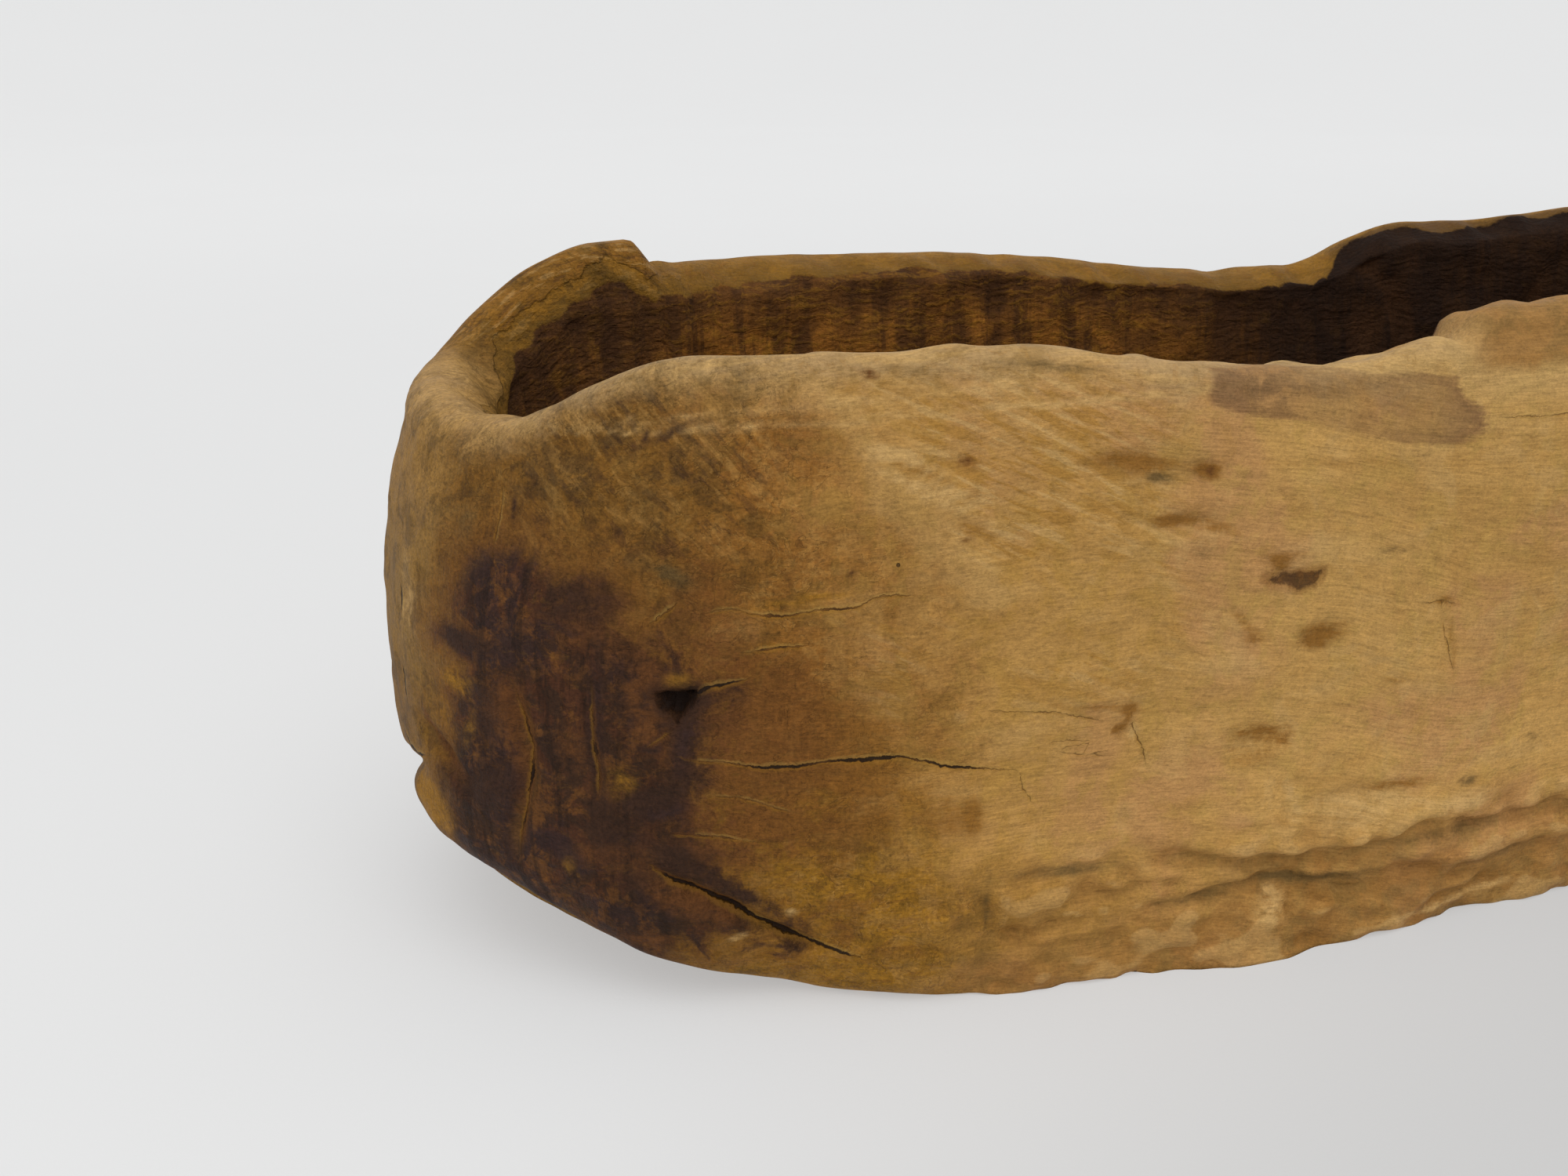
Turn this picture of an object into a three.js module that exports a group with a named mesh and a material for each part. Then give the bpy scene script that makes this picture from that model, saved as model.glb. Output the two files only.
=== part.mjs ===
// Dugout water trough, hewn and hollowed from one log.
// It lies along X with its rounded left end towards -X, and the near side faces -Y.
// Sizes are in millimetres, Z is up and the flat of the base lies on Z = 0.
import * as THREE from "three";

// Log seen from above, at its widest level
const troughLength = 1430;
const bellyWidth = 535;
const widestFromLeftTip = 568;
const leftEndCurve = 2.6;
const rightEndCurve = 2.6;
const leftTipSetBack = 8;

// Outer wall in section
const bellyHeight = 183;
const footCurve = 2.6;
const sideFootInset = 6;
const endFootInset = 30;
const wallLean = 44;
const wallLeanHeight = 450;
const wallLeanCurve = 2.5;

// Flat hewn off the near left foot
const footCutInset = 46;
const footCutFromTip = 253;
const footCutReach = 91;

// Swelling of the near foot, under the middle of the side
const footSwell = 17;
const footSwellFromTip = 591;
const footSwellReach = 72;

// Underside, which lifts off the ground towards both ends
const leftLift = 78;
const leftLiftLength = 277;
const rightLift = 30;
const rightLiftLength = 220;
const baseBandWidth = 60;

// Round of the log left on above the hewn side, right of the step in the rim
const shoulderHeight = 440;
const shoulderFromTip = 760;
const shoulderRunIn = 120;
const shoulderSlope = 0.35;

// Rim of the near side: worn down at the left corner, sagging, then stepping up
const nearRimHeight = 466;
const cornerDip = 51;
const cornerDipStart = 15;
const cornerDipEnd = 161;
const nearSag = 24;
const nearSagFromTip = 645;
const nearSagReach = 165;
const nearStep = 12;
const nearStepFromTip = 771;
const nearStepRun = 32;

// Rim of the far side: low at the tip, a horn at the corner, sagging, then stepping up twice
const farRimHeight = 469;
const farTipDrop = 50;
const farTipDropLength = 100;
const hornRise = 27;
const hornFromTip = 161;
const hornReach = 80;
const hornBreakFromTip = 227;
const hornBreakRun = 24;
const farSag = 38;
const farSagFromTip = 855;
const farSagReach = 242;
const farStep = 7;
const farStepFromTip = 943;
const farStepRun = 114;
const farEndRise = 12;
const farEndRiseFromTip = 1120;
const farEndRiseRun = 120;
const sideBlend = 90;

// Rim in section
const sideRimRounding = 16;
const endRimRounding = 28;
const wallThickness = 55;
const rimBevel = 14;
const rimBevelCurve = 1.6;

// Hollow, with upright gouge flutes all round its wall
const floorThickness = 80;
const hollowBatter = 30;
const hollowCornerRadius = 55;
const floorBandWidth = 20;
const leastHalfFloor = 12;
const fluteCount = 76;
const fluteDepth = 4;

// Unevenness left by the axe on the outside
const hewnWaveDepth = 2.5;
const hewnWavesRound = 9;
const hewnWaveHeight = 880;
const hewnRippleDepth = 1.5;
const hewnRipplesRound = 17;
const hewnRippleHeight = 470;

// Fineness of the surface
const columnsPerFlute = 2;
const outerWallRows = 11;
const rimRows = 3;
const bevelRows = 3;
const hollowWallRows = 6;
const hollowCornerRows = 3;
const planSteps = 3600;

const columns = fluteCount * columnsPerFlute;
const halfWidth = bellyWidth / 2;
const spineInset = halfWidth * 1.1;

// Goes from 0 at x = from to 1 at x = to, with level ends
function ease(from, to, x) {
  const t = Math.min(Math.max((x - from) / (to - from), 0), 1);
  return t * t * (3 - 2 * t);
}

// Bump of height 1 at x = middle that has faded by about twice its reach
function bump(middle, reach, x) {
  return Math.exp(-(((x - middle) / reach) ** 2));
}

// Step of height 1 that runs over the length run, with its middle at x = middle
function step(middle, run, x) {
  return ease(middle - run / 2, middle + run / 2, x);
}

// Quarter of a superellipse: 0 at t = 0, 1 with an upright tangent at t = 1
function quarterRound(t, curve) {
  return 1 - Math.pow(Math.max(1 - Math.pow(t, curve), 0), 1 / curve);
}

// How far the middle line of the log lies behind y = 0
function middleLine(x) {
  return leftTipSetBack * Math.max(1 - x / widestFromLeftTip, 0) ** 2;
}

// Point of the widest outline: two half superellipses that meet where the log is widest
function planPoint(angle) {
  const c = Math.cos(angle);
  const s = Math.sin(angle);
  const power = 2 / (c < 0 ? leftEndCurve : rightEndCurve);
  const reach = c < 0 ? widestFromLeftTip : troughLength - widestFromLeftTip;
  const x = widestFromLeftTip + reach * Math.sign(c) * Math.abs(c) ** power;
  const y = halfWidth * Math.sign(s) * Math.abs(s) ** power + middleLine(x);
  return new THREE.Vector2(x, y);
}

// Evenly spaced columns round the widest outline, from the right tip by the far side
function planColumns() {
  const fine = [];
  for (let i = 0; i <= planSteps; i++) {
    fine.push(planPoint((2 * Math.PI * i) / planSteps));
  }
  const reached = [0];
  for (let i = 1; i <= planSteps; i++) {
    reached.push(reached[i - 1] + fine[i].distanceTo(fine[i - 1]));
  }
  const result = [];
  let i = 0;
  for (let j = 0; j < columns; j++) {
    const target = (reached[planSteps] * j) / columns;
    while (reached[i + 1] <= target) i++;
    const share = (target - reached[i]) / (reached[i + 1] - reached[i]);
    result.push(fine[i].clone().lerp(fine[i + 1], share));
  }
  return result;
}

function nearRim(x) {
  const dip = cornerDip * (1 - ease(cornerDipStart, cornerDipEnd, x));
  const sag = nearSag * bump(nearSagFromTip, nearSagReach, x);
  return nearRimHeight - dip - sag + nearStep * step(nearStepFromTip, nearStepRun, x);
}

function farRim(x) {
  const drop = farTipDrop * (1 - ease(0, farTipDropLength, x));
  const brokenOff = step(hornBreakFromTip, hornBreakRun, x);
  const horn = hornRise * bump(hornFromTip, hornReach, x) * (1 - brokenOff);
  const raised = step(farStepFromTip, farStepRun, x);
  const sag = farSag * bump(farSagFromTip, farSagReach, x) * (1 - raised);
  const raisedEnd = farEndRise * step(farEndRiseFromTip, farEndRiseRun, x);
  return farRimHeight - drop + horn - sag + farStep * raised + raisedEnd;
}

// Top of the rim over a point of the widest outline
function rimHeight(x, y) {
  const farShare = ease(-sideBlend, sideBlend, y);
  return nearRim(x) * (1 - farShare) + farRim(x) * farShare;
}

// Height of the underside above the ground
function lift(x) {
  const left = leftLift * (1 - ease(0, leftLiftLength, x));
  const right = rightLift * ease(troughLength - rightLiftLength, troughLength, x);
  return left + right;
}

// Everything that one column needs: its place, its way inwards, its heights and its turn
function describeColumn(point, index) {
  const spineX = Math.min(Math.max(point.x, spineInset), troughLength - spineInset);
  const spine = new THREE.Vector2(spineX, middleLine(spineX));
  const inward = spine.clone().sub(point);
  const room = inward.length();
  inward.divideScalar(room);
  const endShare = ease(0.35, 0.95, Math.abs(inward.x));
  return {
    point,
    inward,
    room,
    endShare,
    rim: rimHeight(point.x, point.y),
    rounding: sideRimRounding * (1 - endShare) + endRimRounding * endShare,
    foot: lift(point.x),
    turn: (2 * Math.PI * index) / columns,
    flute: index % columnsPerFlute ? fluteDepth * (0.8 + 0.2 * Math.sin(1.7 * index)) : 0,
  };
}

// Waves and ripples of the hewn face
function hewnFace(column, z) {
  const wave = Math.sin(hewnWavesRound * column.turn + (2 * Math.PI * z) / hewnWaveHeight);
  const ripple = Math.sin(hewnRipplesRound * column.turn - (2 * Math.PI * z) / hewnRippleHeight);
  return hewnWaveDepth * wave + hewnRippleDepth * ripple;
}

// How far the outer face lies inside the widest outline at height z
function outerInset(column, z) {
  const { point, endShare, foot } = column;
  const below = Math.min(Math.max((bellyHeight - z) / (bellyHeight - foot), 0), 1);
  const above = Math.max((z - bellyHeight) / (wallLeanHeight - bellyHeight), 0);
  const cut = footCutInset * bump(footCutFromTip, footCutReach, point.x);
  const swell = footSwell * bump(footSwellFromTip, footSwellReach, point.x);
  const ownInset = sideFootInset * (1 - endShare) + endFootInset * endShare;
  const footInset = point.y < 0 ? ownInset + cut - swell : ownInset;
  const overShoulder = Math.max(z - shoulderHeight, 0) * shoulderSlope;
  return (
    footInset * quarterRound(below, footCurve) +
    wallLean * above ** wallLeanCurve +
    overShoulder * step(shoulderFromTip, shoulderRunIn, point.x) +
    hewnFace(column, z)
  );
}

// Profile of one column, from the band under the base, up the outside, over the rim,
// down the wall of the hollow and round its corner to the band on the floor
function profile(column) {
  const { point, inward, room, rim, rounding: rimRounding, foot, flute } = column;
  const points = [];
  function add(inset, z) {
    const kept = Math.min(inset, room - leastHalfFloor);
    points.push([point.x + inward.x * kept, point.y + inward.y * kept, z]);
  }

  const footInset = outerInset(column, foot);
  const bandX = point.x + inward.x * (footInset + baseBandWidth);
  add(footInset + baseBandWidth, lift(bandX));

  const shoulder = rim - rimRounding;
  for (let i = 0; i < outerWallRows; i++) {
    const z = foot + (shoulder - foot) * (i / (outerWallRows - 1)) ** 1.5;
    add(outerInset(column, z), z);
  }

  const outer = outerInset(column, shoulder);
  for (let i = 1; i <= rimRows; i++) {
    const angle = (Math.PI / 2) * (i / rimRows);
    add(outer + rimRounding * (1 - Math.cos(angle)), shoulder + rimRounding * Math.sin(angle));
  }

  for (let i = 1; i <= bevelRows; i++) {
    const share = i / bevelRows;
    const inset = outer + rimRounding + (wallThickness - rimRounding) * share;
    add(inset, rim - rimBevel * share ** rimBevelCurve);
  }

  const inner = outer + wallThickness;
  const top = rim - rimBevel;
  const bottom = floorThickness + hollowCornerRadius;
  for (let i = 1; i <= hollowWallRows; i++) {
    const share = i / hollowWallRows;
    add(inner + hollowBatter * share - flute, top + (bottom - top) * share);
  }

  const cornerStart = inner + hollowBatter;
  for (let i = 1; i <= hollowCornerRows; i++) {
    const angle = (Math.PI / 2) * (i / hollowCornerRows);
    const inset = cornerStart + hollowCornerRadius * (1 - Math.cos(angle));
    add(inset - flute * (1 - i / hollowCornerRows), bottom - hollowCornerRadius * Math.sin(angle));
  }

  add(cornerStart + hollowCornerRadius + floorBandWidth, floorThickness);
  return points;
}

// Triangles of the strips between neighbouring columns
function wallFaces(rows) {
  const faces = [];
  for (let j = 0; j < columns; j++) {
    const here = j * rows;
    const next = ((j + 1) % columns) * rows;
    for (let i = 0; i < rows - 1; i++) {
      faces.push(here + i, next + i, next + i + 1);
      faces.push(here + i, next + i + 1, here + i + 1);
    }
  }
  return faces;
}

// Triangles that close one row across the trough, from each column to the one opposite
function crossFaces(rows, row, facesUp) {
  const faces = [];
  const at = (j) => (j % columns) * rows + row;
  function face(a, b, c) {
    if (facesUp) faces.push(a, c, b);
    else faces.push(a, b, c);
  }
  for (let j = 0; j < columns / 2; j++) {
    if (j > 0) face(at(j + 1), at(j), at(columns - j));
    if (j === 0) face(at(1), at(0), at(columns - 1));
    else if (j < columns / 2 - 1) face(at(j + 1), at(columns - j), at(columns - j - 1));
  }
  return faces;
}

// The whole trough as one closed surface
function troughGeometry() {
  const profiles = planColumns().map((point, index) => profile(describeColumn(point, index)));
  const rows = profiles[0].length;
  const faces = [
    ...wallFaces(rows),
    ...crossFaces(rows, 0, false),
    ...crossFaces(rows, rows - 1, true),
  ];
  const geometry = new THREE.BufferGeometry();
  geometry.setAttribute("position", new THREE.Float32BufferAttribute(profiles.flat(2), 3));
  geometry.setIndex(faces);
  geometry.computeBoundingBox();
  const box = geometry.boundingBox;
  geometry.translate(-(box.min.x + box.max.x) / 2, -(box.min.y + box.max.y) / 2, -box.min.z);
  geometry.computeVertexNormals();
  return geometry;
}

const wood = new THREE.MeshStandardMaterial({ color: 0x96703f, roughness: 0.72, metalness: 0 });

const troughBody = new THREE.Mesh(troughGeometry(), wood);
troughBody.name = "trough_body";

const trough = new THREE.Group();
trough.add(troughBody);

export default trough;
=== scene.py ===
"""Dugout water trough hewn from one log, dressed for its picture.

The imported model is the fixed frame, in metres. One dense closed surface stands for its node.
Places on the skin are pairs: the distance from the left tip round the widest outline, towards
the near side where positive, and the height above the ground. The tables give them, and sizes
too, in millimetres, and strengths in percent.
"""

import bpy
import numpy as np
from bpy.props import FloatProperty, FloatVectorProperty, IntProperty, PointerProperty
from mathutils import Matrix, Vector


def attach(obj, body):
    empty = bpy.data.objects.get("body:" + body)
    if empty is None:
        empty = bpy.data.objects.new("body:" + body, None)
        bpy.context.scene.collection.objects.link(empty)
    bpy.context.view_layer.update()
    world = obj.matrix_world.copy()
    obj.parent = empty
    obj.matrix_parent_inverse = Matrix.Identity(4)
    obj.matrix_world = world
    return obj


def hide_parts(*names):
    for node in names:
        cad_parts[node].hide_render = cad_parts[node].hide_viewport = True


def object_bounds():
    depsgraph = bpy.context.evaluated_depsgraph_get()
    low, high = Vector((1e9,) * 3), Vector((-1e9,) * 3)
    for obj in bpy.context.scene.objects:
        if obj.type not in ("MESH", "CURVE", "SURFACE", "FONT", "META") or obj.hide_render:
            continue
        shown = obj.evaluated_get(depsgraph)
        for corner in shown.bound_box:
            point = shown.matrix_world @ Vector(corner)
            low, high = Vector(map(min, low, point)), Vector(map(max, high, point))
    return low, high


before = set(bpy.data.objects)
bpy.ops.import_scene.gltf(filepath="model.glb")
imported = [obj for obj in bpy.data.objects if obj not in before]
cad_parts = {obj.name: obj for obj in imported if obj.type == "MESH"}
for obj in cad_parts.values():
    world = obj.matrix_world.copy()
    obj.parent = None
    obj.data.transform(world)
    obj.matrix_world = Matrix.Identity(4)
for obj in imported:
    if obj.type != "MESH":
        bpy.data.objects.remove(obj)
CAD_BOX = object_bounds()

bl_info = {
    "name": "Dugout Water Trough",
    "version": (1, 0, 0),
    "blender": (4, 5, 0),
    "location": "3D View > Sidebar > Trough",
    "description": "Builds a hewn dugout trough with gouged hollow, stains, checks and axe marks",
    "category": "Add Mesh",
}

# Middle of the footprint, from the left tip and from the middle line
MIDDLE = (0.71318, -0.00259)

# Where the log is widest, from the left tip and above the ground, and the curve of its outline
WIDEST_X, WIDEST_Z, CURVE = 0.568, 0.183, 2.6

# Free strip along the middle of base and floor, reach of a check, and a depth well outside
MIDDLE_GAP, CHECK_REACH, OUTSIDE = 0.012, 0.012, -0.1

# How far the rim's bevel drops, how far the wall of the hollow leans in, and the round below it
BEVEL_DROP, WALL_LEAN, FLOOR_ROUND = 0.014, 0.03, 0.055

# Parts of the skin, and the rows of points of each stretch of a profile
UNDER, SIDE, RIM, HOLLOW = range(4)
SIDE_ROWS, ROUND_ROWS, BEVEL_ROWS, WALL_ROWS, CORNER_ROWS, FLOOR_ROWS = 104, 8, 10, 44, 8, 7

# What brings the rows of bruises and of marks to metres and shares
BRUISE_UNITS = (1000, 1000, 1000, 1000, 1000, 100)
MARK_UNITS = (1000, 1000, 1000, 1000, 1, 100)

# Long shallow bruises: place, half length, half height, depth, darkness as dirt and painted shade (0 where
# marks give it)
BRUISES = (
    (611, 394, 40, 12, 4.5, 0), (634, 381, 15, 6, 2, 0), (671, 381, 15, 8, 5, 0),
    (655, 350, 34, 7, 4, 0), (664, 329, 22, 7, 1.5, 0), (763, 258, 26, 13, 4.5, 0),
    (715, 186, 28, 12, 3, 0), (497, 399, 13, 7, 2, 0), (496, 349, 24, 5, 1, 0),
    (700, 322, 16, 5, 1.5, 0), (720, 283, 12, 8, 1.2, 0), (-700, 330, 50, 20, 5, 28),
    (-980, 240, 40, 16, 4.5, 32), (-1260, 370, 45, 18, 4, 25), (1230, 300, 45, 18, 4.5, 30),
    (1420, 210, 30, 20, 4, 28), (-470, 210, 35, 22, 5, 25),
)

# Grooves of the outside: half width above and below, depth, then the places they run through
GROOVES = (
    (7, 9.9, 13, ((-180, 60), (-100, 90), (-50, 109), (-20, 123), (0, 132), (20, 140), (40, 147),
        (56, 151), (70, 156))),
    (5, 5, 3.5, ((76, 200), (106, 188), (129, 174), (137, 158))),
    (6, 6, 4, ((76, 193), (110, 180), (136, 153))),
    (5, 5, 3, ((134, 165), (173, 190))),
    (6, 6, 5.5, ((179, 249), (186, 222), (188, 203), (186, 171), (179, 154), (172, 132), (170, 112))),
    (5.5, 5.5, 9, ((277, 120), (289, 111), (308, 103), (331, 92), (347, 78), (364, 69), (382, 59),
        (401, 52))),
    (3.5, 3.5, 2, ((238, 257), (239, 219), (240, 190), (238, 168))),
    (4, 8, 3.5, ((511, 101), (519, 64), (513, 36))),
    (10, 14, -2.5, ((370, 440), (396, 443), (420, 429), (441, 393), (461, 362), (495, 340), (518, 305))),
    (6, 16, 3, ((512, 102), (555, 103), (598, 97), (640, 106), (680, 100))),
    (3, 17, 7.2, ((655, 100), (704, 94), (753, 82), (803, 80), (842, 82), (877, 91), (922, 85), (979, 78),
        (1060, 74))),
    (3.5, 15, 6.5, ((640, 56), (663, 59), (696, 61), (755, 67), (800, 58), (855, 58), (912, 51),
        (972, 43), (1020, 49), (1080, 45))),
    (3.5, 11, 5, ((770, 44), (800, 47), (831, 49), (859, 36))),
    (4, 6, 4.5, ((885, 17), (918, 22), (941, 24), (970, 24))),
    (8, 18, 3, ((767, 124), (797, 127), (845, 129), (877, 124))),
    (3, 10, 4, ((520, 58), (548, 50), (580, 60), (600, 48))),
    (3, 9, 3.5, ((590, 82), (615, 74), (650, 80), (676, 66))),
    (3.5, 3.5, 1.2, ((502, 233), (556, 227), (585, 218), (612, 208))),
    (3, 3, 2.2, ((613, 221), (619, 205), (626, 190), (632, 173))),
    (5, 5, 3, ((605, 206), (610, 203))),
    (3.5, 3.5, 1.2, ((858, 273), (882, 267))),
    (4.5, 4.5, 1.4, ((867, 265), (873, 245), (877, 232), (884, 212))),
    (3.5, 3.5, 2.5, ((405, 462), (420, 457), (437, 449))),
    (3, 3, 1.8, ((427, 464), (440, 456))),
    (4, 4, 4.5, ((748, 57), (756, 46), (762, 34))),
    (6, 6, 2.2, ((736, 150), (746, 136), (748, 116))),
    (8, 16, 4, ((-400, 120), (-520, 135), (-660, 120), (-800, 128))),
    (6, 20, 5.5, ((-620, 75), (-780, 70), (-930, 82), (-1100, 75))),
    (8, 14, 3.5, ((-980, 300), (-1080, 310), (-1200, 296))),
    (6, 20, 5, ((1080, 70), (1200, 80), (1320, 72), (1450, 90))),
)

# Drying checks, cracks and cuts: greatest half width, then the places they run through
CHECKS = (
    (0.7, ((312, 309), (337, 313), (352, 309), (368, 308), (395, 311), (422, 312), (428, 317), (445, 317),
        (464, 315))),
    (0.8, ((342, 284), (362, 287), (384, 288))),
    (1.3, ((302, 209), (336, 206), (352, 203), (373, 203), (400, 205), (433, 203), (450, 203), (475, 195),
        (503, 190), (533, 185))),
    (0.4, ((533, 185), (535, 173), (546, 156))),
    (0.5, ((314, 182), (340, 180), (354, 174), (384, 163))),
    (0.7, ((288, 150), (312, 151), (330, 149), (351, 145))),
    (2.6, ((277, 120), (289, 111), (308, 103), (331, 92), (347, 78), (364, 69), (382, 59), (401, 52),
        (425, 44))),
    (1.4, ((306, 252), (320, 260), (330, 262), (343, 266))),
    (0.8, ((238, 257), (239, 219), (240, 190), (238, 168))),
    (0.9, ((178, 250), (186, 222), (189, 203), (188, 187), (181, 152), (174, 132), (172, 110))),
    (2.2, ((37, 224), (42, 210), (50, 198))),
    (2, ((41, 288), (45, 267))),
    (0.5, ((297, 229), (276, 214))),
    (0.7, ((279, 301), (288, 309), (297, 316))),
    (1.6, ((20, 168), (45, 163), (66, 163), (87, 170))),
    (0.5, ((613, 222), (619, 205), (626, 190), (632, 172))),
    (0.4, ((906, 400), (960, 398), (1050, 401))),
    (0.4, ((502, 233), (530, 230), (556, 227), (585, 218), (610, 210))),
    (0.4, ((560, 196), (585, 190), (606, 187))),
    (0.4, ((848, 272), (866, 272), (882, 267))),
    (0.4, ((867, 268), (873, 245), (877, 232), (884, 212))),
    (0.3, ((540, 205), (570, 204), (598, 199))),
    (0.5, ((157, 385), (158, 360), (156, 335))),
    (1.6, ((-60, 330), (-85, 290), (-80, 240), (-100, 190))),
    (1.4, ((-300, 200), (-380, 206), (-450, 202), (-560, 212))),
    (1.2, ((-760, 260), (-850, 266), (-960, 262))),
    (0.7, ((-500, 330), (-560, 334), (-640, 329), (-700, 333))),
    (0.8, ((-1040, 170), (-1120, 176), (-1210, 170), (-1280, 174))),
    (2, ((-1300, 180), (-1400, 186), (-1500, 180), (-1560, 190))),
    (1.4, ((-1380, 300), (-1460, 296), (-1580, 304))),
    (2.4, ((1290, 170), (1380, 176), (1460, 170), (1550, 180), (1600, 176))),
    (1.4, ((1360, 290), (1430, 284), (1520, 292))),
    (2.6, ((1640, 120), (1632, 200), (1648, 280), (1640, 350))),
    (2, ((-1610, 100), (-1622, 170), (-1606, 250))),
)

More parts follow.
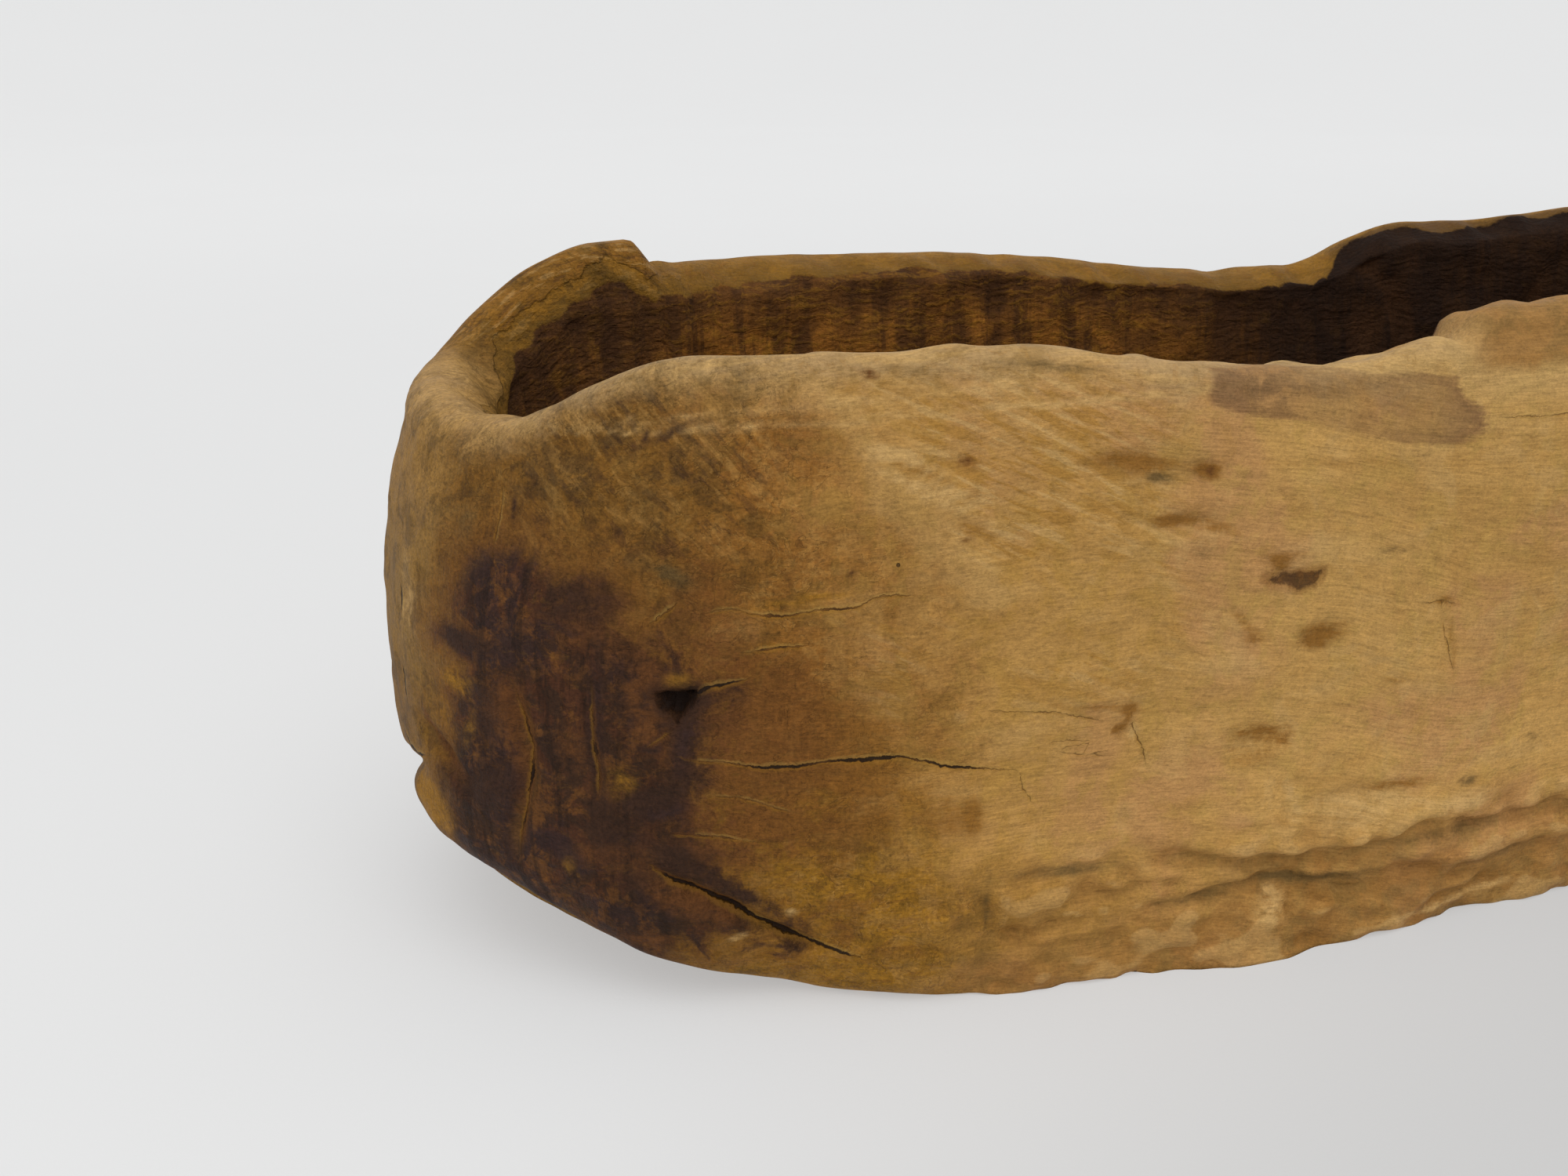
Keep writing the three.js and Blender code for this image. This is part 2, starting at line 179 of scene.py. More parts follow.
# Soft marks painted on the outside: place, half length, half height, tilt in degrees, strength
MARKS = {
    "rust": (
        (619, 392, 26.4, 6.6, -11, 75), (643, 353, 17.6, 3.8, 0, 95), (671, 347, 12.6, 3.2, -12, 60),
        (687, 341, 11.3, 2.7, -9, 40), (729, 320, 18.5, 3.3, 0, 60), (726, 314, 7.5, 3.8, -8, 60),
        (763, 262, 19, 7, -2, 80), (757, 254, 9.4, 4.6, -12, 60), (697, 279, 12.8, 3.7, -42, 60),
        (706, 265, 11.8, 3.4, -7, 60), (721, 192, 22.9, 3, -9, 60), (739, 182, 6.6, 3.9, -49, 50),
        (716, 183, 26, 19, -5, 50), (831, 216, 19.9, 5.2, 4, 40), (501, 399, 7.5, 4.7, -12, 60),
        (474, 416, 10.2, 4.9, -4, 35), (393, 419, 33.2, 20.7, -20, 35), (614, 319, 23.5, 13.2, -6, 20),
        (479, 158, 22.6, 19.3, -54, 45), (434, 185, 22, 15.9, -10, 40), (501, 155, 16, 5.8, -84, 40),
        (181, 180, 49, 7.5, 85, 60), (225, 126, 19, 8.7, 11, 50), (302, 95, 32.3, 10.7, -22, 80),
        (169, 229, 20.8, 14, 73, 70), (347, 247, 25.3, 16.4, 0, 30), (368, 201, 40.6, 8.2, -2, 35),
        (315, 351, 32.7, 20, 1, 20), (649, 439, 23.4, 7.3, -3, 25), (768, 428, 28.2, 6.4, -6, 40),
        (769, 381, 100, 5.2, -5, 25), (252, 59, 39.6, 8.6, 2, 50), (453, 49, 43.7, 7.2, -1, 40),
        (672, 382, 8.5, 3.6, -14, 100), (606, 207, 4, 3, -18, 120), (850, 129, 41.1, 4.7, -1, 55),
        (589, 227, 35.9, 2.3, -11, 55), (613, 221, 11.8, 4, 84, 60), (879, 238, 28.8, 3.6, -79, 40),
        (870, 271, 15.7, 1.8, -9, 50), (104, 187, 33, 4.5, -38, 95), (400, 225, 55, 16, 0, 45),
        (355, 200, 50, 45, 0, 50), (360, 262, 42, 26, 0, 45), (330, 150, 35, 30, 0, 50),
        (240, 300, 30, 25, 0, 40), (470, 394, 22, 3, -22, 40), (492, 366, 26, 3, -24, 40),
        (505, 352, 30, 3, -26, 35), (118, 228, 11, 8, 0, 60), (276, 250, 15, 28, 0, 70),
        (262, 130, 20, 10, -20, 50), (222, 208, 13, 18, 0, 50), (318, 310, 25, 30, 0, 45),
        (385, 150, 40, 30, 0, 35), (430, 150, 16, 12, 20, 40), (415, 190, 18, 9, 0, 40),
        (-840, 340, 50, 7, -4, 40), (-520, 250, 70, 30, 10, 30), (-1350, 250, 40, 40, 0, 35),
        (-640, 130, 60, 12, -5, 40), (1340, 240, 30, 6, 4, 45),
    ),
    # Dark marks are dark wood and gouges, but the two above the overhanging lip of the widest check, at 330,
    # 110 and 292, 118, are painted shade
    "dark": (
        (674, 381, 4.5, 2.2, -14, 70), (414, 334, 2.2, 2.1, 3, 100), (136, 272, 26.5, 7.2, -1, 90),
        (152, 168, 25.1, 14, 21, 70), (283, 178, 20.7, 10, 21, 70), (236, 151, 15.2, 11.2, 70, 50),
        (259, 149, 18.9, 14.6, 68, 45), (207, 310, 17.7, 15.9, 16, 30), (302, 252, 10.2, 6.5, 6, 50),
        (337, 258, 12.3, 7.6, 23, 40), (330, 110, 35.3, 5.9, -32, 80), (292, 118, 13.8, 5.2, -26, 60),
        (79, 348, 19.3, 7.8, 42, 35), (248, 443, 21.8, 4.2, 9, 40), (259, 412, 6.6, 5.8, -53, 50),
        (285, 423, 14.4, 1.5, 22, 70), (268, 423, 4.9, 1.6, -79, 60), (169, 371, 19.4, 2.1, -80, 50),
        (292, 400, 13, 1.9, -30, 35), (303, 395, 9.7, 1.5, -30, 30), (498, 401, 4.8, 2.5, -12, 70),
        (496, 349, 7.1, 1.6, -18, 50), (905, 123, 9, 3.6, -4, 30), (428, 461, 17.1, 2, -17, 45),
        (440, 456, 4.8, 1.4, -23, 50), (312, 205, 22, 12, 80, 45), (292, 135, 16, 14, 0, 40),
        (318, 250, 20, 10, 0, 35), (235, 315, 30, 20, 0, 35), (300, 300, 20, 16, 0, 30),
        (240, 200, 6, 60, 0, 50), (-735, 285, 12, 4, -10, 60), (-1020, 330, 8, 3, 12, 70),
        (1180, 220, 9, 4, 8, 60), (158, 222, 14, 22, 0, 50), (106, 160, 10, 35, 0, 40),
        (262, 108, 20, 11, 0, 40),
    ),
    "grime": (
        (635, 381, 10.6, 2.5, -9, 90), (665, 328, 12.5, 2.8, -5, 50), (665, 311, 10.6, 3.3, -6, 30),
        (818, 315, 17, 2.2, -7, 45), (768, 355, 40, 5.4, -6, 20), (905, 123, 10, 4, -4, 45),
        (562, 101, 49.4, 5.8, -4, 35), (515, 79, 26.3, 2.9, -86, 50), (294, 333, 14, 6.5, -27, 60),
        (237, 416, 14.9, 4, 11, 40), (129, 356, 21.1, 9.8, 85, 40), (202, 377, 30.4, 12, -78, 25),
        (275, 381, 25.5, 14.6, -35, 35), (371, 457, 37.4, 3.9, 0, 30), (466, 459, 30.4, 3.5, -2, 45),
        (548, 460, 36.3, 2.9, -6, 60), (573, 455, 27, 2.3, -5, 40), (592, 98, 37.3, 5.1, -4, 25),
        (676, 60, 36.4, 5.4, 0, 50), (755, 63, 35.1, 4.6, -7, 40), (796, 59, 41.9, 5.4, -5, 50),
        (894, 78, 53.7, 5.7, 0, 50), (965, 48, 47.7, 6.1, 0, 40), (972, 147, 11.4, 3.1, -30, 50),
        (437, 248, 33, 16.4, -7, 20), (433, 131, 33.3, 24.4, -14, 25), (913, 121, 8, 4, 12, 40),
        (-620, 300, 60, 6, 3, 45), (-1120, 360, 50, 8, 5, 40), (-1480, 340, 40, 10, 8, 40),
        (1500, 250, 30, 8, -6, 40),
    ),
    "pale": (
        (613, 379, 12.9, 2, -9, 45), (444, 409, 19.4, 2, -4, 70), (458, 388, 21.3, 2.6, -24, 70),
        (487, 372, 27.2, 2, -15, 45), (511, 374, 21.9, 2, -13, 30), (408, 447, 35.8, 5.1, -16, 35),
        (334, 64, 8, 2.4, 20, 60), (373, 87, 4.6, 2.4, -2, 60), (897, 444, 56.2, 1.5, -3, 80),
        (796, 442, 622.3, 3.1, 2, 60), (654, 452, 770.9, 3.8, 3, 35), (748, 143, 10, 3.9, -70, 55),
        (754, 122, 10.7, 5.4, -77, 50), (809, 123, 48.7, 9.3, -5, 45), (896, 108, 45, 6.9, -3, 35),
        (746, 45, 14.6, 10.7, 79, 55), (752, 86, 41.9, 4.6, -6, 40), (891, 12, 46.3, 3.3, 0, 60),
        (955, 18, 30.8, 3.2, 3, 50), (526, 83, 19.5, 3.1, -86, 40), (548, 127, 13.2, 9.5, -28, 30),
        (489, 229, 7.7, 5.6, -7, 35), (547, 255, 7.7, 3.5, -88, 35), (618, 204, 5.8, 4.7, -59, 70),
        (56, 282, 34.2, 16.1, -89, 40), (882, 150, 67.7, 12.5, -10, 20), (776, 205, 43.3, 17.8, -14, 15),
        (912, 449, 46.8, 2.5, -2, 40), (738, 41, 11, 11, 0, 25), (809, 104, 32, 15, -8, 45),
        (916, 104, 20, 7, 0, 40), (462, 402, 26, 3, -24, 60), (480, 384, 24, 3, -22, 60),
        (505, 361, 26, 3, -22, 45), (847, 245, 30, 3, -86, 40), (-560, 360, 50, 4, 6, 60),
        (-900, 180, 80, 6, -3, 50),
    ),
    "gold": (
        (79, 127, 29.6, 17.3, 28, 50), (122, 235, 15.1, 10.8, 36, 35), (141, 208, 17, 5.3, 72, 40),
        (260, 191, 14.4, 10.3, 17, 25), (400, 320, 21.9, 2.5, -4, 30), (368, 316, 30.4, 3.2, 5, 35),
        (363, 289, 20.3, 2.1, 6, 40), (352, 212, 30.4, 2.3, -1, 40), (357, 183, 30.8, 2.9, -14, 45),
        (400, 167, 27.9, 2.9, -18, 40), (256, 181, 13, 10, 5, 30), (126, 243, 19, 9, 5, 30),
        (113, 213, 15, 9, -50, 35), (214, 120, 10, 5, 85, 60), (298, 262, 11, 6, 0, 80),
        (88, 134, 20, 13, -30, 95), (360, 120, 50, 30, 0, 25),
    ),
    "blue": (
        (158, 170, 22, 14, 20, 85), (280, 171, 18, 10, 5, 90), (207, 130, 20, 11, -35, 70),
        (303, 222, 30, 9, 82, 55), (240, 230, 50, 6, 88, 55), (136, 268, 20, 7, -20, 60),
    ),
}

# Three-cornered hole left by a knot
KNOT_HOLE = ((282, 254), (311, 256), (296, 232))

# Outline of the dark stain over the near left corner
STAIN = (
    (134, 321), (146, 329), (164, 334), (180, 336), (193, 335), (205, 330), (212, 325), (220, 327),
    (229, 330), (240, 328), (247, 324), (254, 320), (256, 311), (252, 297), (262, 293), (280, 290),
    (289, 277), (300, 264), (316, 257), (324, 249), (322, 236), (316, 222), (314, 207), (313, 189),
    (310, 165), (314, 135), (330, 110), (346, 90), (369, 71), (374, 62), (345, 62), (315, 60), (285, 54),
    (266, 38), (250, 10), (190, 20), (140, 50), (112, 95), (115, 130), (111, 150), (110, 168), (120, 184),
    (127, 200), (122, 210), (124, 233), (134, 242), (143, 255), (129, 262), (114, 267), (99, 270),
    (119, 276), (139, 282), (125, 285), (121, 294),
)

# Outline of the purple-grey tide mark under the near rim
TIDE_MARK = (
    (680, 446), (720, 445), (770, 441), (830, 436), (884, 430), (888, 412), (908, 400), (893, 388),
    (875, 384), (830, 388), (800, 394), (746, 409), (700, 420), (676, 428),
)

# How far below the crest of the rim the gouge cuts and the dark wood of the hollow begin
HOLLOW_EDGE = (
    (-1400, 14), (-1260, 8), (-1195, 7), (-1178, 23), (-1150, 22), (-1130, 6), (-1080, 4), (-1062, 12),
    (-1045, 36), (-1010, 34), (-970, 37), (-940, 37), (-910, 32), (-880, 30), (-850, 37), (-800, 38),
    (-760, 34), (-700, 30), (-640, 32), (-600, 27), (-560, 32), (-520, 37), (-460, 37), (-420, 38),
    (-380, 45), (-340, 52), (-320, 55), (-300, 45), (-280, 31), (-260, 36), (-240, 35), (-220, 40),
    (-160, 37), (-140, 38), (-120, 49), (-100, 64), (-50, 66), (-20, 53), (0, 47), (50, 40), (100, 32),
    (300, 38),
)

# Crease down the inside of the far wall
INNER_CREASE = (
    (-1058, 452), (-1078, 446), (-1092, 430), (-1106, 405), (-1117, 379), (-1121, 300), (-1118, 220),
)

# Black-brown scar of a chip that broke out of the side
SCAR = ((715, 306), (730, 309), (752, 306), (762, 308), (757, 298), (742, 293), (734, 299), (722, 301))


def a_length(name, description, default):
    """A length that a user may change."""
    return FloatProperty(name=name, description=description, default=default, unit="LENGTH")


def a_colour(name, description, *default):
    """A colour that a user may change."""
    return FloatVectorProperty(name=name, description=description, subtype="COLOR", default=default,
                               min=0, max=1)


def an_angle(name, description, degrees):
    """An angle that a user may change."""
    return FloatProperty(name=name, description=description, default=np.radians(degrees).item(),
                         unit="ROTATION")


class TroughSizes(bpy.types.PropertyGroup):
    """Sizes of the trough that a user would change"""

    length: a_length("Length", "Length of the log at its widest level", 1.43)
    width: a_length("Width", "Width of the log at its widest level", 0.535)
    wall: a_length("Wall", "Thickness of the wall at the rim", 0.055)
    floor: a_length("Floor", "Thickness of the floor", 0.08)
    near_rim: a_length("Near rim", "Height of the near rim before it is worn down", 0.466)
    far_rim: a_length("Far rim", "Height of the far rim before it is worn down", 0.469)
    horn: a_length("Horn", "How far the horn stands up at the far left corner", 0.027)
    gouge_width: a_length("Gouge width", "Usual width of a gouge cut in the hollow", 0.036)
    gouge_depth: a_length("Gouge depth", "Depth of a gouge cut in the hollow", 0.0048)
    unevenness: a_length("Unevenness", "Height of the waves left on the outside", 0.0016)
    half_columns: IntProperty(name="Columns", description="Columns of the mesh on each side", default=264,
                              min=20)
    seed: IntProperty(name="Seed", description="Start of the chance in waves and gouge cuts", default=11,
                      min=0)


class TroughColours(bpy.types.PropertyGroup):
    """Colours of the wood that a user would change"""

    light: a_colour("Light wood", "Clean wood of the side", 0.475, 0.27, 0.08)
    pale: a_colour("Worn wood", "Worn edge of the rim", 0.5, 0.31, 0.115)
    tan: a_colour("Tan wood", "Darker streaks of the clean wood", 0.37, 0.195, 0.05)
    brown: a_colour("Brown wood", "Weathered wood near the left end", 0.26, 0.109, 0.019)
    golden: a_colour("Golden wood", "Oily wood low on the near side", 0.318, 0.149, 0.014)
    olive: a_colour("Olive wood", "Greenish streaks by the left corner", 0.122, 0.062, 0.009)
    stain: a_colour("Stain", "Dark stain over the near left corner", 0.043, 0.019, 0.01)
    rust: a_colour("Red-brown", "Reddish patches in stain and bruises", 0.165, 0.063, 0.013)
    purple: a_colour("Tide mark", "Purple-grey tide mark under the rim", 0.17, 0.083, 0.035)
    straw: a_colour("Straw wood", "Yellower clouds in the clean wood", 0.405, 0.25, 0.062)
    end_wood: a_colour("End wood", "Tan wood of the left end face", 0.265, 0.144, 0.032)
    rim: a_colour("Rim", "Rubbed wood along the near rim", 0.49, 0.312, 0.12)
    red_stain: a_colour("Red stain", "Redder places of the dark stain", 0.075, 0.026, 0.011)
    violet: a_colour("Violet stain", "Bluest places of the dark stain", 0.034, 0.017, 0.015)
    pink: a_colour("Pinkish wood", "Faint pinkish clouds in the clean wood", 0.43, 0.222, 0.082)
    grime: a_colour("Grime", "Greenish grey dirt in dents and along grooves", 0.105, 0.064, 0.021)
    grey: a_colour("Grey wood", "Greyed streaks on the worn rim", 0.37, 0.248, 0.118)
    far_rim: a_colour("Far rim", "Browner wood of the horn and the far rim", 0.165, 0.076, 0.006)
    hollow: a_colour("Hollow", "Wood of the hollow, darkened by water", 0.235, 0.09, 0.014)
    hollow_dark: a_colour("Dark hollow", "Darkest wood of the hollow", 0.05, 0.021, 0.008)
    crack: a_colour("Crack", "Inside of cracks and holes", 0.012, 0.006, 0.004)


class StageSettings(bpy.types.PropertyGroup):
    """Floor, light and camera of the picture"""

    floor_colour: a_colour("Floor", "Colour of the plain floor", 0.42, 0.424, 0.425)
    glow: FloatProperty(name="Floor glow", description="Light that the floor gives by itself", default=0.4,
                        min=0)
    sky: FloatProperty(name="Sky", description="Strength of the light from all round", default=0.86, min=0)
    lamp: FloatProperty(name="Softbox", description="Power of the softbox overhead", default=35.0, min=0,
                        unit="POWER")
    camera_place: FloatVectorProperty(name="Camera", description="Place of the camera", unit="LENGTH",
                                      subtype="TRANSLATION", default=(-0.79808, -1.20341, 0.7))
    camera_pitch: an_angle("Pitch", "How far the camera looks down", 20.0)
    camera_yaw: an_angle("Yaw", "How far the camera looks to the right", 18.0)
    lens: FloatProperty(name="Lens", description="Focal length on a sensor 36 mm wide", default=38.592,
                        unit="CAMERA")


def ease(start, end, x):
    """Smooth step: 0 up to start, 1 from end on, and 3tt - 2ttt of the share t between them."""
    t = np.clip((x - start) / (end - start), 0, 1)
    return t * t * (3 - 2 * t)


def bump(middle, reach, x):
    """Bell: e to the power of minus the square of the distance from the middle over the reach."""
    return np.exp(-(((x - middle) / reach) ** 2))


def step(middle, run, x):
    """Smooth step that runs over the length run, centred on the middle."""
    return ease(middle - run / 2, middle + run / 2, x)


def quarter_round(t, curve):
    """Quarter of a superellipse: 1 minus the curve-th root of 1 minus t to the power curve."""
    return 1 - np.maximum(1 - t ** curve, 0) ** (1 / curve)


def waves(place, length, count, seed, stretch=1.0):
    """Smooth chance relief: the sum of count sine waves of about the given length, with drawn
    directions and phases, scaled to a spread of about 1. Stretch draws it out along X."""
    chance = np.random.default_rng(seed)
    direction = chance.normal(size=(count, 3))
    direction /= np.linalg.norm(direction, axis=1)[:, None]
    direction *= (2 * np.pi / (length * chance.uniform(0.75, 1.35, count)))[:, None]
    direction[:, 0] /= stretch
    phase = chance.uniform(0, 2 * np.pi, count)
    return np.sin(place @ direction.T + phase).sum(axis=-1) * np.sqrt(2 / count)


def even_steps(count, end):
    """Places from 0 to the end in even steps, without the 0."""
    return np.linspace(0, end, count + 1)[1:]


def running_total(steps):
    """Sums of the steps so far, from 0 on."""
    return np.concatenate([[0], np.cumsum(steps)])


def path_distance(s, z, path):
    """Distance from each place to the nearest point of a path of straight pieces, which side of
    it the place is on as a sign, and the share of the path's length at the nearest point."""
    points = np.array(path) / 1000
    lengths = np.linalg.norm(np.diff(points, axis=0), axis=1)
    before = running_total(lengths)
    best, side, share = np.full(s.shape, 1e3), np.ones(s.shape), np.zeros(s.shape)
    for (a, b), length, start in zip(zip(points[:-1], points[1:]), lengths, before):
        along = (b - a) / length
        t = np.clip((s - a[0]) * along[0] + (z - a[1]) * along[1], 0, length)
        ds, dz = s - a[0] - along[0] * t, z - a[1] - along[1] * t
        d = np.hypot(ds, dz)
        near = d < best
        best = np.where(near, d, best)
        side = np.where(near, np.sign((z - a[1]) * along[0] - (s - a[0]) * along[1] + 1e-9), side)
        share = np.where(near, (start + t) / before[-1], share)
    return best, side, share


def depth_inside(s, z, outline):
    """Distance to a closed outline, positive inside it and negative outside: the distance to the
    nearest edge, with the sign from how many edges a ray to the right crosses."""
    loop = np.array([*outline, outline[0]])
    far, _, _ = path_distance(s, z, loop)
    inside = np.zeros(s.shape, dtype=bool)
    for (s0, z0), (s1, z1) in zip(loop[:-1] / 1000, loop[1:] / 1000):
        if z0 != z1:
            crossing = s0 + (z - z0) / (z1 - z0) * (s1 - s0)
            inside ^= ((z0 > z) != (z1 > z)) & (s < crossing)
    return np.where(inside, far, -far)


def middle_line(x):
    """How far the middle line of the log lies behind y = 0: a parabola from the left tip."""
    return 0.008 * np.maximum(1 - x / WIDEST_X, 0) ** 2


def widest_outline(sizes):
    """Outline of the log at its widest level: two half superellipses that meet where it is
    widest, as fine points with their distance from the left tip, near side positive."""
    half_turn = 3600
    angle = np.linspace(0, 2 * np.pi, 2 * half_turn + 1)
    c, s = np.cos(angle), np.sin(angle)
    reach = np.where(c < 0, WIDEST_X, sizes.length - WIDEST_X)
    x = WIDEST_X + reach * np.sign(c) * np.abs(c) ** (2 / CURVE)
    y = sizes.width / 2 * np.sign(s) * np.abs(s) ** (2 / CURVE) + middle_line(x)
    arc = running_total(np.hypot(np.diff(x), np.diff(y)))
    return x, y, arc - arc[half_turn]


def column_places(sizes, arc):
    """Distance from the left tip for every column: each half is cut so that the columns are
    close where the picture looks and wider elsewhere, by summing up 1 / spacing."""
    halves, samples = [], 4001
    for reach, wider, start, end in ((-arc[0], 0.0026, 0.28, 0.45), (arc[-1], 0.0095, 0.98, 1.15)):
        place = np.linspace(0, reach, samples)
        spacing = 0.0044 + wider * ease(start, end, place)
        total = running_total((1 / spacing[1:] + 1 / spacing[:-1]) / 2)
        wanted = np.linspace(0, total[-1], sizes.half_columns + 1)
        halves.append(np.interp(wanted, total, place))
    return np.concatenate([-halves[0][:0:-1], halves[1][:-1]])


def near_rim(sizes, x):
    """Height of the near rim: level, less a dip at the left corner and a sag, plus two low swells
    and a step with a nick before it."""
    worn = 0.051 * (1 - ease(0.008, 0.15, x)) + 0.024 * bump(0.645, 0.165, x)
    high = 0.004 * step(0.335, 0.03, x) * (1 - step(0.455, 0.06, x)) + 0.004 * bump(0.722, 0.03, x)
    edge = 0.004 * bump(0.795, 0.028, x) - 0.003 * bump(0.753, 0.007, x)
    return sizes.near_rim + 0.0015 - worn + high + edge + 0.012 * step(0.767, 0.022, x)


def far_rim(sizes, x, horn):
    """Height of the far rim: low at the tip, a horn that breaks off, a sag, then two steps up."""
    raised = step(0.943, 0.114, x)
    horn = horn * np.exp(-(np.abs(x - 0.183) / 0.095) ** 3) * (1 - step(0.213, 0.04, x))
    drop = 0.05 * (1 - ease(0, 0.1, x)) + 0.038 * bump(0.855, 0.242, x) * (1 - raised)
    nib = 0.003 * bump(0.238, 0.022, x) - 0.003 * bump(0.81, 0.018, x)
    return sizes.far_rim + 0.0025 - drop + horn + nib + 0.005 * raised + 0.012 * step(1.12, 0.12, x)


def lift(sizes, x):
    """Height of the underside: it leaves the ground by a smooth step towards each end."""
    corner = 0.015 * bump(0.016, 0.038, x) + 0.004 * bump(0.215, 0.06, x)
    return 0.078 * (1 - ease(0, 0.277, x)) + corner + 0.03 * ease(sizes.length - 0.22, sizes.length, x)


class Columns:
    """What each column of the surface needs: its place, its way inwards, heights and gouge cut"""

    def __init__(self, sizes):
        x, y, arc = widest_outline(sizes)
        self.s = column_places(sizes, arc)
        self.round = arc[-1] - arc[0]
        self.x = np.interp(self.s, arc, x)
        self.y = np.interp(self.s, arc, y)
        self.turn = 2 * np.pi * (self.s - arc[0]) / self.round
        inset = sizes.width / 2 * 1.1
        spine = np.clip(self.x, inset, sizes.length - inset)
        dx, dy = spine - self.x, middle_line(spine) - self.y
        self.room = np.hypot(dx, dy)
        self.dx, self.dy = dx / self.room, dy / self.room
        self.end = ease(0.35, 0.95, np.abs(self.dx))
        far = ease(-0.09, 0.09, self.y)
        self.rim = near_rim(sizes, self.x) * (1 - far) + far_rim(sizes, self.x, sizes.horn) * far
        self.low_rim = near_rim(sizes, self.x) * (1 - far) + far_rim(sizes, self.x, 0) * far
        self.foot = lift(sizes, self.x)
        self.slope = 0.012 * ease(-0.7, -0.3, self.s) * ease(0.1, 0.02, self.s)
        self.rounding = 0.016 * (1 - self.end) + 0.028 * self.end
        self.edge = np.interp(self.s, *np.array(HOLLOW_EDGE).T / 1000)
        self.gouge_cuts(sizes)

    def gouge_cuts(self, sizes):
        """Gouge cuts side by side round the hollow, of drawn widths and depths. Across a cut the
        place goes from -1 to 1; its hollow is 1 less the square of that, and its top an arch."""
        chance = np.random.default_rng(sizes.seed + 5)
        count = int(self.round / sizes.gouge_width)
        edges = running_total(chance.uniform(0.62, 1.38, count))
        edges *= self.round / edges[-1]
        place = self.s - self.s[0]
        cut = np.clip(np.searchsorted(edges, place, side="right") - 1, 0, count - 1)
        middle, half = (edges[cut] + edges[cut + 1]) / 2, (edges[cut + 1] - edges[cut]) / 2
        across = (place - middle) / half
        self.across = across ** 2
        self.cut_depth = sizes.gouge_depth * chance.uniform(0.55, 1.15, count)[cut] * (1 - self.across)
        self.cut_top = chance.uniform(0.0, 0.005, count)[cut] + 0.005 * self.across


def outer_inset(columns, z):
    """How far the outer face lies inside the widest outline: the foot drawn in by a quarter
    round, the wall leaning in above, the round of the log over the shoulder, and long waves."""
    x, y, end = columns.x, columns.y, columns.end
    below = np.clip((WIDEST_Z - z) / (WIDEST_Z - columns.foot), 0, 1)
    above = np.maximum((z - WIDEST_Z) / (0.45 - WIDEST_Z), 0)
    cut = 0.046 * bump(0.253, 0.091, x) - 0.017 * bump(0.591, 0.072, x)
    cut += 0.004 * bump(0.35, 0.035, x) - 0.005 * bump(0.435, 0.04, x)
    foot = 0.006 * (1 - end) + 0.03 * end + np.where(y < 0, cut, 0)
    wave = 0.0025 * np.sin(9 * columns.turn + 2 * np.pi * z / 0.88)
    ripple = 0.0015 * np.sin(17 * columns.turn - 2 * np.pi * z / 0.47)
    over = np.maximum(z - 0.44, 0) * 0.35 * step(0.76, 0.12, x)
    return foot * quarter_round(below, CURVE) + 0.044 * above ** 2.5 + over + wave + ripple


def outside_relief(sizes, s, z, place):
    """Depth of the broad waves and of all marks on the outside: short chance waves, bells for the
    bruises, bells across the grooves, a knot hole and a scar. Positive is into the wood."""
    broad = sizes.unevenness * waves(place, 0.15, 24, sizes.seed, 1.6) * ease(-0.02, 0.16, np.abs(s))
    broad -= 0.003 * bump(-0.165, 0.07, s) * ease(0.36, 0.43, z)
    depth = sizes.unevenness * 0.4 * waves(place, 0.06, 30, sizes.seed + 1, 2.2)
    depth += sizes.unevenness * 0.16 * waves(place, 0.022, 40, sizes.seed + 2, 3.0)
    depth *= 1 - 0.7 * ease(0.38, 0.46, z)
    for s0, z0, half_length, half_height, deep, _ in np.array(BRUISES) / BRUISE_UNITS:
        depth += deep * bump(s0, half_length, s) * bump(z0, half_height, z)
    wander = 0.0032 * waves(place, 0.09, 20, sizes.seed + 9, 1.5)
    wander += 0.0012 * waves(place, 0.03, 20, sizes.seed + 14, 1.5)
    for above, below, deep, path in GROOVES:
        far, side, share = path_distance(s, z + wander * (below > 10), path)
        half = np.where(side > 0, above, below) / 1000
        depth += deep / 1000 * bump(0, half, far) * np.minimum(1, 0.35 + 4 * share * (1 - share))
    depth += 0.005 * bump(-0.03, 0.06, s) * bump(0.115, 0.02, z)
    depth -= 0.001 * bump(0.068, 0.03, s) * bump(0.125, 0.012, z)
    lumps = 0.0016 * waves(place, 0.045, 40, sizes.seed + 12, 1.8)
    lumps += 0.0014 * waves(place, 0.018, 40, sizes.seed + 13, 1.6)
    depth += lumps * ease(0.125, 0.085, z) * (0.25 + 0.75 * ease(0.42, 0.54, np.abs(s)))
    depth += 0.012 * ease(-0.002, 0.004, depth_inside(s, z, KNOT_HOLE))
    depth += 0.0022 * ease(-0.003, 0.002, depth_inside(s, z, SCAR))
    return broad, depth


def checks_field(s, z):
    """For the nearest check: the distance to it with the side as its sign, held within its reach,
    and half its opening there, which swells and closes along it as a half sine."""
    best, signed, opening = np.full(s.shape, 1e3), np.full(s.shape, CHECK_REACH), np.zeros(s.shape)
    for number, (half, path) in enumerate(CHECKS):
        far, side, share = path_distance(s, z, path)
        near = far < best
        best = np.where(near, far, best)
        signed = np.where(near, side * np.minimum(far, CHECK_REACH), signed)
        swell = np.sin(np.pi * np.clip(share, 0.02, 0.98)) ** 0.6
        swell *= half / 1000 * (0.75 + 0.25 * np.sin(23 * share + number))
        opening = np.where(near, swell * (1 - ease(0.0045, 0.0085, far)), opening)
    return signed, opening


